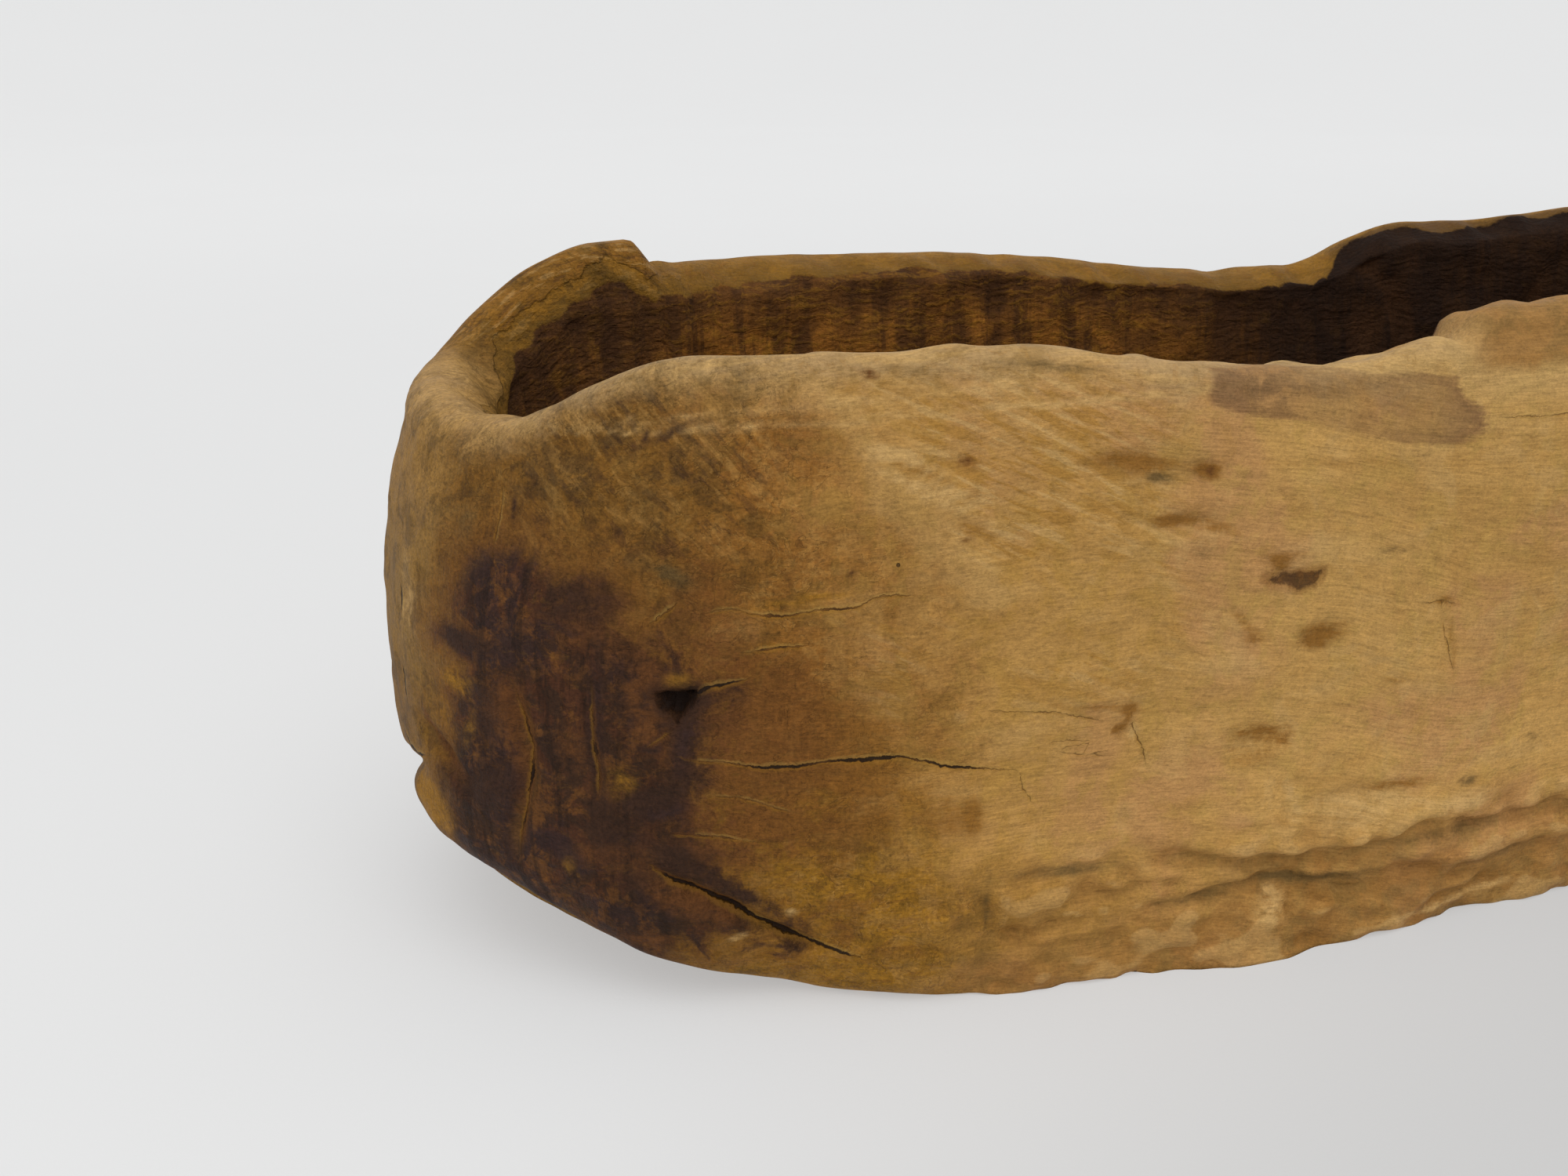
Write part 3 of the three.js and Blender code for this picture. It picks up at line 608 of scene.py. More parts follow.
def trough_surface(sizes):
    """The whole skin as a grid: each column is a profile from under the base, up the outside,
    over the rim, down the gouged wall and round its corner to the middle of the floor."""
    c = Columns(sizes)
    middle = c.room - MIDDLE_GAP
    insets, heights, kinds, cavities = [], [], [], []

    def add(inset, z, kind, cavity=0.0):
        for rows, values in ((insets, inset), (heights, z), (cavities, cavity)):
            rows.append(np.broadcast_to(values, c.x.shape))
        kinds.append(kind)

    def skin_place(inset, z):
        return np.stack([c.x + c.dx * inset, c.y + c.dy * inset, z + 0 * c.x], axis=-1)

    # Underside
    foot_inset = outer_inset(c, c.foot)
    relief = sum(outside_relief(sizes, c.s, c.foot, skin_place(foot_inset, c.foot)))
    for share in (1.0, 0.62, 0.3, 0.1, 0.02):
        inset = foot_inset + relief + (middle - foot_inset - relief) * share
        add(inset, lift(sizes, c.x + c.dx * inset), UNDER)

    # Outside
    rim = c.rim + 0.0007 * waves(skin_place(0.02, c.rim), 0.11, 20, sizes.seed + 3)
    rim = rim + 0.0003 * waves(skin_place(0.02, c.rim), 0.03, 20, sizes.seed + 10)
    shoulder = rim - c.rounding
    for t in np.linspace(0, 1, SIDE_ROWS):
        z = c.foot + (shoulder - c.foot) * t ** 1.15
        inset = outer_inset(c, z)
        broad, cavity = outside_relief(sizes, c.s, z, skin_place(inset, z))
        relief = broad + cavity
        add(inset + relief, z, SIDE, cavity)

    # Rim and its bevel
    outer = outer_inset(c, shoulder)
    inner = outer_inset(c, c.low_rim - c.rounding) + sizes.wall + c.slope
    top = rim - c.rim + c.low_rim - BEVEL_DROP - c.slope
    for angle in even_steps(ROUND_ROWS, np.pi / 2):
        fade = 1 - np.sin(angle) ** 2 * 0.6
        inset = outer + relief * fade + c.rounding * (1 - np.cos(angle))
        add(inset, shoulder + c.rounding * np.sin(angle), RIM)
    slant = np.hypot(inner - outer - c.rounding, rim - top)
    for share in even_steps(BEVEL_ROWS, 1):
        inset = (outer + relief * 0.4 + c.rounding) * (1 - share) + inner * share
        cut = c.cut_depth * ease(-0.001, 0.01, slant * share - c.edge - c.cut_top)
        worn = 0.0018 * waves(skin_place(inset, rim), 0.04, 24, sizes.seed + 4) * np.sin(np.pi * share)
        add(inset - cut, rim - (rim - top) * share ** 1.6 - worn, RIM, cut)

    # Wall of the hollow
    bottom = sizes.floor + FLOOR_ROUND
    for t in even_steps(WALL_ROWS, 1):
        share = 0.55 * t + 0.45 * t ** 2.2
        z = top + (bottom - top) * share
        below = (top - bottom) * share
        started = ease(-0.001, 0.01, below + slant - c.edge - c.cut_top)
        place = skin_place(inner, z)
        rough = 0.0016 * waves(place, 0.07, 20, sizes.seed + 6)
        rough += 0.0006 * waves(place, 0.025, 24, sizes.seed + 7)
        crease = 0.007 * bump(0, 0.008, path_distance(c.s, z, INNER_CREASE)[0])
        gouged = c.cut_depth + rough
        add(inner + WALL_LEAN * share - gouged * started - crease, z, HOLLOW, gouged + crease)

    # Corner and floor
    corner = inner + WALL_LEAN
    for angle in even_steps(CORNER_ROWS, np.pi / 2):
        inset = corner + FLOOR_ROUND * (1 - np.cos(angle)) - gouged * np.cos(angle)
        add(inset, bottom - FLOOR_ROUND * np.sin(angle), HOLLOW)
    last = corner + FLOOR_ROUND
    for share in even_steps(FLOOR_ROWS, 1):
        inset = last + (middle - last) * share
        hewn = 0.0016 * waves(skin_place(inset, sizes.floor), 0.055, 24, sizes.seed + 8)
        add(inset, sizes.floor - hewn * ease(0, 0.3, share), HOLLOW)

    grid = skin_place(np.minimum(insets, middle), np.array(heights)) - (*MIDDLE, 0)
    low, high = np.array(CAD_BOX[0]) + 1e-5, np.array(CAD_BOX[1]) - 1e-5
    return c, np.clip(grid, low, high), np.array(kinds), np.array(cavities)


def painted(s, z, kind):
    """Strength of one kind of mark: the sum of its bells, each drawn out along its tilt."""
    total = np.zeros(s.shape)
    for s0, z0, half_length, half_height, tilt, strength in np.array(MARKS[kind]) / MARK_UNITS:
        turn = np.radians(tilt)
        along = (s - s0) * np.cos(turn) + (z - z0) * np.sin(turn)
        across = (z - z0) * np.cos(turn) - (s - s0) * np.sin(turn)
        half_height = max(half_height, 0.003)
        total += strength * bump(0, half_length * 1.15, along) * bump(0, half_height * 1.15, across)
    return total


def skin_marks(columns, grid, kinds, cavities):
    """Values that the finish reads at each point, worked out on the grid of places, and the way
    along each profile from the crest of the rim."""
    rows = grid.shape[0]
    s = np.broadcast_to(columns.s, grid.shape[:2])
    z = grid[..., 2]
    crest = np.flatnonzero(kinds == RIM)[ROUND_ROWS - 1]
    outside = (np.isin(kinds, (SIDE, RIM)) & (np.arange(rows) <= crest))[:, None]
    steps = np.linalg.norm(np.diff(grid, axis=0), axis=-1)
    runs = np.concatenate([np.zeros((1, s.shape[1])), np.cumsum(steps, axis=0)])
    along = runs - runs[crest]

    marks = {"cavity": cavities * 1000, "in_hollow": along - columns.edge - columns.cut_top,
             "across_cut": np.broadcast_to(columns.across, s.shape)}
    outlines = {"stain": STAIN, "tide_mark": TIDE_MARK, "knot_hole": KNOT_HOLE, "scar": SCAR}
    for name, outline in outlines.items():
        marks[name] = np.where(outside, depth_inside(s, z, outline), OUTSIDE)
    signed, opening = checks_field(s, z)
    marks["check_side"] = np.where(outside, signed, CHECK_REACH)
    marks["check_opening"] = np.where(outside, opening, 0)
    for kind in MARKS:
        marks[kind] = np.where(outside, painted(s, z, kind), 0)
    # Bruises out of sight darken the red-brown marks: dirt and painted shade in the dent
    for s0, z0, half_length, half_height, _, dark in np.array(BRUISES) / BRUISE_UNITS:
        marks["rust"] += outside * dark * bump(s0, half_length, s) * bump(z0, half_height, z)
    return marks, along


def trough_mesh(sizes):
    """Mesh of the skin: quads between neighbouring columns, and strips that close the underside
    and the floor from each column to the one opposite. Its map is in metres along the skin."""
    columns, grid, kinds, cavities = trough_surface(sizes)
    marks, along = skin_marks(columns, grid, kinds, cavities)
    rows, count = grid.shape[:2]
    j, i = np.meshgrid(np.arange(count), np.arange(rows - 1), indexing="ij")
    here, after = j * rows + i, (j + 1) % count * rows + i
    walls = np.stack([here, after, after + 1, here + 1], axis=-1).reshape(-1, 4)
    k = np.arange(1, count // 2 - 1)
    strip = np.stack([k + 1, k, count - k, count - k - 1], axis=-1)
    ends = np.array([[1, 0, count - 1], [count // 2, count // 2 - 1, count // 2 + 1]])
    under, over = strip * rows, strip[:, ::-1] * rows + rows - 1
    under_ends, over_ends = ends * rows, ends[:, ::-1] * rows + rows - 1
    quads = np.concatenate([walls, under, over])
    threes = np.concatenate([under_ends, over_ends])
    corners = np.concatenate([quads.ravel(), threes.ravel()])
    totals = np.concatenate([np.full(len(quads), 4), np.full(len(threes), 3)])

    mesh = bpy.data.meshes.new("trough_skin")
    mesh.vertices.add(rows * count)
    mesh.vertices.foreach_set("co", grid.transpose(1, 0, 2).astype(np.float32).ravel())
    mesh.loops.add(len(corners))
    mesh.loops.foreach_set("vertex_index", corners.astype(np.int32))
    mesh.polygons.add(len(totals))
    mesh.polygons.foreach_set("loop_start", running_total(totals)[:-1].astype(np.int32))
    mesh.polygons.foreach_set("loop_total", totals.astype(np.int32))
    mesh.polygons.foreach_set("use_smooth", np.ones(len(totals), dtype=bool))

    s = np.repeat(columns.s, rows)[corners]
    seam = np.zeros(len(corners), dtype=bool)
    last_column = np.repeat(j.ravel(), 4) == count - 1
    seam[: walls.size] = last_column & np.tile([False, True, True, False], len(walls))
    s = np.where(seam, s + columns.round, s)
    place = np.stack([s, along.T.ravel()[corners]], axis=-1)
    layer = mesh.uv_layers.new(name="skin")
    layer.data.foreach_set("uv", place.astype(np.float32).ravel())
    for name, values in marks.items():
        attribute = mesh.attributes.new(name, "FLOAT", "POINT")
        attribute.data.foreach_set("value", values.T.astype(np.float32).ravel())
    mesh.update(calc_edges=True)
    mesh.validate()
    return mesh


class Value:
    """One output of a shader node. Arithmetic on it adds Math nodes."""

    def __init__(self, sheet, socket):
        self.sheet, self.socket = sheet, socket

    def __add__(self, other):
        return self.sheet.maths("ADD", self, other)

    def __sub__(self, other):
        return self.sheet.maths("SUBTRACT", self, other)

    def __rsub__(self, other):
        return self.sheet.maths("SUBTRACT", other, self)

    def __mul__(self, other):
        return self.sheet.maths("MULTIPLY", self, other)

    def __truediv__(self, other):
        return self.sheet.maths("DIVIDE", self, other)

    def __rtruediv__(self, other):
        return self.sheet.maths("DIVIDE", other, self)

    __radd__ = __add__
    __rmul__ = __mul__


class Sheet:
    """A material's node tree and the few kinds of node that the finishes need"""

    def __init__(self, name):
        self.material = bpy.data.materials.new(name)
        self.material.use_nodes = True
        self.tree = self.material.node_tree
        self.tree.nodes.clear()

    def node(self, kind, settings, inputs, output=0):
        """Adds a node, sets its settings and then its inputs, and gives one output."""
        made = self.tree.nodes.new(kind)
        for key, value in settings.items():
            setattr(made, key, value)
        for key, value in inputs.items():
            if isinstance(value, Value):
                self.tree.links.new(value.socket, made.inputs[key])
            else:
                made.inputs[key].default_value = value
        return Value(self, made.outputs[output])

    def maths(self, operation, a, b=0.0, c=0.0):
        return self.node("ShaderNodeMath", {"operation": operation}, {0: a, 1: b, 2: c})

    def size_of(self, value):
        return self.maths("ABSOLUTE", value)

    def larger(self, a, b):
        return self.maths("MAXIMUM", a, b)

    def smooth(self, value, start, end, low=0.0, high=1.0):
        """Goes smoothly from low to high while the value goes from start to end."""
        return self.node("ShaderNodeMapRange", {"interpolation_type": "SMOOTHSTEP"},
                         {0: value, 1: start, 2: end, 3: low, 4: high})

    def attribute(self, name):
        return self.node("ShaderNodeAttribute", {"attribute_name": name}, {}, "Fac")

    def split(self, vector):
        return [self.node("ShaderNodeSeparateXYZ", {}, {0: vector}, axis) for axis in range(3)]

    def join(self, x, y, z=0.0):
        return self.node("ShaderNodeCombineXYZ", {}, {0: x, 1: y, 2: z})

    def noise(self, vector, scale, detail=3.0, roughness=0.55, distortion=0.0):
        inputs = {"Vector": vector, "Scale": scale, "Detail": detail, "Roughness": roughness,
                  "Distortion": distortion}
        return self.node("ShaderNodeTexNoise", {}, inputs)

    def cells(self, vector, scale):
        """Distance to the nearest of the chance points that lie about 1 / scale apart."""
        return self.node("ShaderNodeTexVoronoi", {"feature": "F1"}, {"Vector": vector, "Scale": scale},
                         "Distance")

    def stir(self, value, *patterns):
        """Adds patterns to a value, each less its mean 0.5 and times the amount after it."""
        for pattern, amount in zip(patterns[::2], patterns[1::2]):
            value = value + (pattern - 0.5) * amount
        return value

    def paint(self, under, over, share):
        """Lays one colour over another by a share from 0 to 1."""
        colours = {}
        for key, colour in ((6, under), (7, over)):
            colours[key] = colour if isinstance(colour, Value) else (*colour, 1.0)
        return self.node("ShaderNodeMix", {"data_type": "RGBA", "clamp_factor": True},
                         {0: share, **colours}, 2)

    def lay(self, under, *layers):
        """Lays colours over each other. A layer is a colour, a pattern, the values of the pattern
        where the colour begins and where it is full, and its share there."""
        for colour, pattern, start, end, share in layers:
            under = self.paint(under, colour, self.smooth(pattern, start, end) * share)
        return under

    def shade(self, colour, amount):
        """Multiplies a colour by a grey value."""
        return self.node("ShaderNodeVectorMath", {"operation": "SCALE"}, {0: colour, "Scale": amount})

    def surface(self, colour, roughness, height, specular=0.5, glow=0.0):
        """Principled surface with relief from a height in metres and an even white glow."""
        relief = self.node("ShaderNodeBump", {}, {"Strength": 1.0, "Distance": 1.0, "Height": height})
        inputs = {"Base Color": colour, "Roughness": roughness, "Specular IOR Level": specular,
                  "Normal": relief, "Emission Color": (1.0, 1.0, 1.0, 1.0), "Emission Strength": glow}
        shader = self.node("ShaderNodeBsdfPrincipled", {}, inputs)
        output = self.tree.nodes.new("ShaderNodeOutputMaterial")
        self.tree.links.new(shader.socket, output.inputs["Surface"])
        return self.material


def old_wood(c):
    """Old hewn wood. Colours are laid over each other: clean wood with its grain, the brown of
    the left end, the stain, the scar, dirt and painted shade in hollows and towards the foot,
    rubbing and painted highlight on ridges, the worn rim with painted highlight on the horn,
    soft marks, painted shade at the dark right end, the tide mark, the dark hollow with painted
    shade and highlight, painted light low on the side, and last cracks and holes."""
    sheet = Sheet("old_wood")
    smooth, noise, paint, lay, read = sheet.smooth, sheet.noise, sheet.paint, sheet.lay, sheet.attribute
    stir, join, size_of, larger = sheet.stir, sheet.join, sheet.size_of, sheet.larger
    place = sheet.node("ShaderNodeTexCoord", {}, {}, "Object")
    x, y, z = sheet.split(place)
    s, along, _ = sheet.split(sheet.node("ShaderNodeUVMap", {"uv_map": "skin"}, {}))
    size = size_of(s)

    # Grain: chance drawn out along the log, bent a little, and chance in clouds
    bent = z + 0.04 * noise(place, 4.0, 2.0) + smooth(x, -0.25, 0.1, 0.0, 0.055)
    fine = noise(join(x * 0.085, y, bent), 620.0, 3.0, 0.7)
    medium = noise(join(x * 0.07, y, bent), 190.0, 4.0, 0.65)
    streaks = noise(join(x * 0.14, y, bent), 42.0, 5.0, 0.62)
    hatch = noise(join(s, z * 0.12), 420.0, 3.0, 0.65)
    blotches = noise(place, 8.0, 3.0, 0.55, 0.5)
    patches = noise(place, 19.0, 5.0, 0.62, 0.8)
    clouds = noise(place, 34.0, 6.0, 0.7, 0.5)
    mottle = noise(place, 75.0, 6.0, 0.72, 0.5)
    dust = noise(place, 380.0, 3.0, 0.7)

    # Clean wood of the right part, with slanting strokes where it was struck
    gilt = paint(c.tan, c.golden, 0.5)
    wood = lay(c.light, (c.tan, streaks, 0.47, 0.62, 0.35), (c.pink, blotches, 0.48, 0.6, 0.75),
               (c.straw, clouds, 0.48, 0.6, 0.38), (c.tan, patches, 0.54, 0.66, 0.45),
               (c.pale, patches, 0.47, 0.36, 0.35))
    middle = smooth(stir(size, blotches, 0.35, patches, 0.2), 0.74, 0.5)
    wood = paint(wood, lay(c.tan, (c.golden, clouds, 0.46, 0.58, 0.6)), middle * 0.45)
    slant = noise(join((s * 0.91 - z * 0.42) * 0.15, s * 0.42 + z * 0.91), 125.0, 4.0, 0.6)
    struck = smooth(size_of(s - 0.53), 0.16, 0.06) * smooth(z, 0.2, 0.27) * smooth(blotches, 0.4, 0.52)
    wood = lay(wood, (gilt, slant, 0.51, 0.57, struck * 0.7), (c.pale, slant, 0.46, 0.4, struck * 0.6))

    # Brown wood of the left part, with wrinkles and tool strokes
    left = stir(size + (z - 0.25) * 0.25, blotches, 0.22, patches, 0.22, clouds, 0.1)
    leftness = smooth(left, 0.53, 0.36)
    clean = 1 - leftness
    flecks = noise(join(s * 0.45, z), 105.0, 6.0, 0.72, 0.6)
    folds = noise(join(s * 0.8, z), 46.0, 5.0, 0.62, 1.0)
    creased = smooth(mottle, 0.45, 0.53)
    wrinkles = smooth(size_of(folds - 0.5), 0.014, 0.003) * creased
    deep_left = smooth(stir(size, patches, 0.2), 0.4, 0.26)
    tool = noise(join((s * 0.75 - z * 0.66) * 0.24, s * 0.66 + z * 0.75), 120.0, 4.0, 0.6)
    corner = smooth(size_of(s - 0.27), 0.13, 0.06) * smooth(z, 0.3, 0.35) * smooth(patches, 0.38, 0.56)
    browns = lay(c.golden, (c.brown, stir(z, patches, 0.2), 0.12, 0.22, 1.0),
                 (c.rust, patches, 0.51, 0.59, 0.45), (c.olive, clouds, 0.5, 0.57, 0.45),
                 (c.tan, clouds, 0.47, 0.4, 0.45), (c.rust, flecks, 0.53, 0.59, 0.4),
                 (c.tan, flecks, 0.46, 0.4, 0.3))
    browns = paint(browns, c.stain, wrinkles * 0.2)
    browns = lay(browns, (c.tan, size_of(folds - 0.52), 0.014, 0.003, creased * 0.5))
    browns = paint(browns, c.olive, deep_left * 0.55)
    browns = lay(browns, (c.stain, clouds, 0.5, 0.6, deep_left * 0.4),
                 (c.stain, tool, 0.53, 0.6, corner * 0.5), (c.tan, tool, 0.46, 0.4, corner * 0.4))
    wood = paint(wood, browns, leftness)
    end_wood = lay(c.end_wood, (c.tan, z, 0.3, 0.36, 0.4), (c.olive, clouds, 0.48, 0.58, 0.6))
    end_face = smooth(stir(size, mottle, 0.06, patches, 0.05), 0.125, 0.08)
    wood = lay(wood, (end_wood, z, 0.16, 0.26, end_face * 0.85))

    # Brownish band low on the side
    low = smooth(stir(z, blotches, 0.12, streaks, 0.12), 0.135, 0.05)
    wood = paint(wood, c.brown, low * clean * 0.35)
    wood = lay(wood, (c.olive, streaks, 0.5, 0.62, low * 0.25),
               (c.rust, patches, 0.5, 0.58, low * clean * 0.28))

    # Dark stain of the corner, sharp to the left and ragged to the right
    drips = noise(join(s, z * 0.1), 95.0, 4.0, 0.6)
    inner = noise(place, 30.0, 6.0, 0.72, 0.5)
    stain = lay(c.stain, (c.red_stain, inner, 0.49, 0.57, 0.85), (c.violet, patches, 0.5, 0.57, 0.75),
                (c.rust, clouds, 0.54, 0.62, 0.6), (c.golden, flecks, 0.42, 0.37, 0.12),
                (c.rust, mottle, 0.52, 0.6, 0.3), (c.crack, drips, 0.51, 0.6, 0.5),
                (c.crack, s, 0.2, 0.3, 0.32))
    spread = smooth(s, 0.22, 0.34)
    edge = stir(read("stain"), patches, 0.04 + spread * 0.09, mottle, 0.03 + spread * 0.04)
    edge = edge + 0.006 - spread * 0.001
    stained = smooth(edge, -0.008, 0.014)
    wood = lay(wood, (c.rust, edge, -0.05, 0.006, 0.55))
    wood = paint(wood, stain, stained * (0.97 - spread * 0.04))

    # Scar
    scar = stir(read("scar"), mottle, 0.014)
    scar_wood = lay(c.stain, (c.rust, mottle, 0.48, 0.58, 0.5))
    wood = lay(wood, (c.rust, scar, -0.006, 0.0, 0.5), (scar_wood, scar, -0.001, 0.0015, 0.85))

    # Dirt and painted shade in hollows of the relief, a faint darker band low on the right, painted shade
    # towards the foot, and ridges rubbed pale and painted as highlight
    cavity = read("cavity")
    dirt_and_shade = paint(c.brown, c.grime, smooth(clouds, 0.44, 0.58, 0.35, 0.75))
    unstained = (1 - stained) * (1 - leftness * 0.85)
    # A faint darker band low on the right; painted shade darker towards the foot; dirt and painted shade in
    # the hollows of the relief
    wood = lay(wood, (dirt_and_shade, stir(z, patches, 0.03), 0.096, 0.07, smooth(s, 0.54, 0.68) * 0.1),
               (dirt_and_shade, z, 0.06, 0.02, clean * 0.44), (dirt_and_shade, stir(cavity, mottle, 3.0), 0.5, 5.5, 0.45),
               # Ridges of the relief paler: rubbing and painted highlight
               (c.pale, stir(cavity, streaks, 3.0), -0.5, -1.8, unstained * 0.35))

    # Worn rim, pale on the near side, browner at the far side, ridged on the horn with painted highlight on
    # the ridge crests
    far = smooth(s, -0.06, -0.16)
    horn = smooth(size_of(s + 0.24), 0.14, 0.08)
    worn = smooth(stir(size_of(along), patches, 0.06), 0.048, 0.01)
    worn = larger(worn, far * smooth(along, -0.012, 0.002))
    ridges = noise(join(s * 0.3 + along * 0.5, along), 120.0, 4.0, 0.6)
    rim = lay(c.rim, (c.grey, streaks, 0.46, 0.58, 0.7), (c.tan, size_of(s - 0.02), 0.16, 0.1, 0.4))
    rim = lay(paint(rim, c.far_rim, far), (gilt, stir(along, patches, 0.03), 0.02, 0.004, far * 0.45),
              (c.golden, patches, 0.5, 0.6, far * 0.4), (c.rust, mottle, 0.52, 0.6, far * 0.35))
    # On the horn, pale on the ridge crests as painted highlight, dark between them
    rim = lay(paint(rim, c.brown, horn * 0.3), (c.olive, clouds, 0.49, 0.6, 0.35 + horn * 0.35),
              (c.tan, mottle, 0.46, 0.38, 0.35 - far * 0.2), (c.pale, ridges, 0.53, 0.62, horn * 0.34),
              (c.stain, ridges, 0.46, 0.4, horn * 0.45))
    wood = paint(wood, rim, worn * (0.75 + 0.2 * far))

    # Soft marks, broken up by the grain and fainter on the rim; two of the dark ones are painted shade
    firm = stir(1.0, mottle, 2.4, streaks, 1.8, medium, 1.6) * (1 - worn * 0.45)
    light_side = smooth(s, 0.36, 0.46)
    dark_mark = paint(c.stain, c.rust, light_side * 0.75)
    bruise = paint(c.red_stain, c.rust, smooth(edge, 0.0, -0.03, 0.5, 1.0))
    bruise = paint(bruise, c.golden, light_side * 0.35)
    for kind, colour, share in (("gold", c.golden, 0.85), ("pale", c.pale, 0.8), ("rust", bruise, 0.85),
                                ("grime", c.grime, 0.85), ("blue", c.violet, 0.9),
                                ("dark", dark_mark, 0.95)):
        wood = lay(wood, (colour, read(kind) * firm, 0.08, 0.7, share))

    # Painted shade on the rim at the dark right end, paler and browner rim near it, and the tide mark
    shaded = smooth(stir(s, patches, 0.06), -1.045, -1.075) * smooth(s, -1.6, -1.5)
    before_tip = smooth(s, 1.6, 1.5)
    knob = lay(c.brown, (c.olive, clouds, 0.46, 0.56, 0.5))
    spotted = lay(c.purple, (c.pink, stir(clouds, patches, 0.5), 0.52, 0.6, 0.55))
    tide = stir(read("tide_mark"), medium, 0.014, mottle, 0.01, streaks, 0.03)
    ends = smooth(size_of(s - 0.81), 0.035, 0.09, 0.55, 1.0)
    # The first layer is painted shade on the rim's inner side at the far right end
    wood = lay(wood, (c.hollow_dark, stir(along, mottle, 0.01), 0.0, 0.006, shaded * 0.6),
               (c.rim, z, 0.395, 0.425, smooth(s, 0.84, 0.92) * before_tip * 0.55),
               (knob, stir(z, patches, 0.03), 0.426, 0.442, smooth(s, 0.88, 0.925) * before_tip * 0.68),
               (spotted, tide, -0.003, 0.005, ends * 0.72),
               (c.purple, size_of(tide - 0.003), 0.006, 0.001, smooth(s, 0.74, 0.86) * 0.3))

    # Hollow: each gouge cut has its own tone, with fine chatter across it. Painted shade darkens
    # the wall under its edge, its right end and the deepest cuts; painted highlight lights the
    # chatter where the far wall is lit
    chatter = stir(along + 0.0045 * read("across_cut"), noise(place, 14.0, 4.0), 0.06)
    ripples = sheet.maths("SINE", chatter * 900.0)
    inside = stir(read("in_hollow"), mottle, 0.012, patches, 0.012)
    hollowed = smooth(inside, -0.001, 0.0025)
    end_part = smooth(s, -0.41, -0.35) * smooth(s, 0.1, 0.05)
    face = smooth(stir(inside, patches, 0.012), -0.02, -0.0175) * end_part
    wood = paint(wood, paint(c.golden, c.olive, smooth(clouds, 0.44, 0.55, 0.35, 0.95)), face * 0.6)
    tone = noise(join(s, z * 0.1), 42.0, 5.0, 0.65)
    dashes = noise(join(s * 0.14, stir(z, patches, 0.03)), 230.0, 3.0, 0.6)
    lit = smooth(s, -1.0, -0.8) * smooth(s, -0.3, -0.4, 0.35, 1.0)
    by_end = smooth(size_of(s + 0.1), 0.3, 0.18)
    hollow = lay(c.hollow, (c.hollow_dark, patches, 0.44, 0.6, 0.5),
                 (c.hollow_dark, tone, 0.46, 0.58, 0.65), (c.golden, clouds, 0.46, 0.36, 0.35),
                 # Painted shade under the edge of the hollow
                 (c.hollow_dark, stir(inside, tone, 0.07), 0.045, 0.01, 0.65),
                 (c.hollow_dark, size_of(s + 0.15), 0.25, 0.1, 0.45),
                 (c.hollow_dark, clouds, 0.42, 0.54, by_end * 0.5),
                 # Painted shade in the right end of the hollow
                 (c.crack, stir(s, tone, 0.1), -0.8, -1.04, 0.9),
                 # Painted highlight on the chatter where the far wall is lit
                 (c.golden, dashes + ripples * 0.03, 0.5, 0.62, lit * 0.28),
                 # Painted shade in the deepest gouge cuts and the crease
                 (c.hollow_dark, cavity, 3.5, 7.0, 0.7))
    # Olive band along the lower edge of the rim, just above the hollow: painted shadow
    wood = paint(lay(wood, (c.olive, inside, -0.012, -0.001, 0.35)), hollow, hollowed)

    # Grain, scratches and dust over everything, and painted light that lifts the clean wood low on the side
    rough_part = larger(leftness, hollowed)
    shading = stir(0.0, fine, 0.7, dust, 0.6, medium, 0.24, mottle, 0.28)
    shading = shading + stir(0.0, hatch, 0.4, mottle, 0.5, dust, 0.35) * rough_part
    # Painted light: the clean wood up to a quarter lighter towards the bottom
    painted_low_light = (1 - rough_part) * smooth(z, 0.03, 0.36, 0.26, 0.0)
    wood = sheet.shade(wood, smooth(shading, -1.0, 1.0, 0.15, 1.85) * (1.02 + painted_low_light))

    # Woodworm holes, cracks with their lips, and the knot hole
    flat = join(s, z)
    side, opening = read("check_side"), read("check_opening")
    gap = opening * smooth(noise(flat, 45.0, 3.0, 0.6) + opening * 260.0, 0.38, 0.54)
    distance = size_of(stir(side, noise(flat, 230.0, 3.0, 0.6), 0.004, noise(flat, 60.0, 2.0), 0.004))
    cracked = smooth(distance / (gap + 0.00002), 1.3, 0.6) * smooth(gap, 0.00005, 0.0003)
    lip = smooth(distance / (opening + 0.0004), 3.6, 1.2) * smooth(opening, 0.0001, 0.0004)
    above = smooth(side, -0.0005, 0.0005)
    hole = stir(read("knot_hole"), mottle, 0.012, clouds, 0.02)
    holed = smooth(hole, -0.0035, 0.0025)
    worm = smooth(sheet.cells(place, 17.0), 0.026, 0.016)
    wood = paint(wood, paint(c.straw, c.rust, stained), lip * above * 0.34)
    wood = paint(wood, paint(c.golden, c.rust, above), lip * (1 - above) * 0.35)
    dark = larger(larger(cracked, holed), worm * 0.8)
    wide = gap + holed + worm
    bottom = paint(c.rust, c.crack, smooth(wide, 0.0003, 0.0009))
    wood = lay(wood, (c.stain, hole, -0.012, -0.002, 0.7))
    wood = paint(wood, bottom, dark * smooth(wide, 0.0002, 0.0007, 0.45, 0.94))

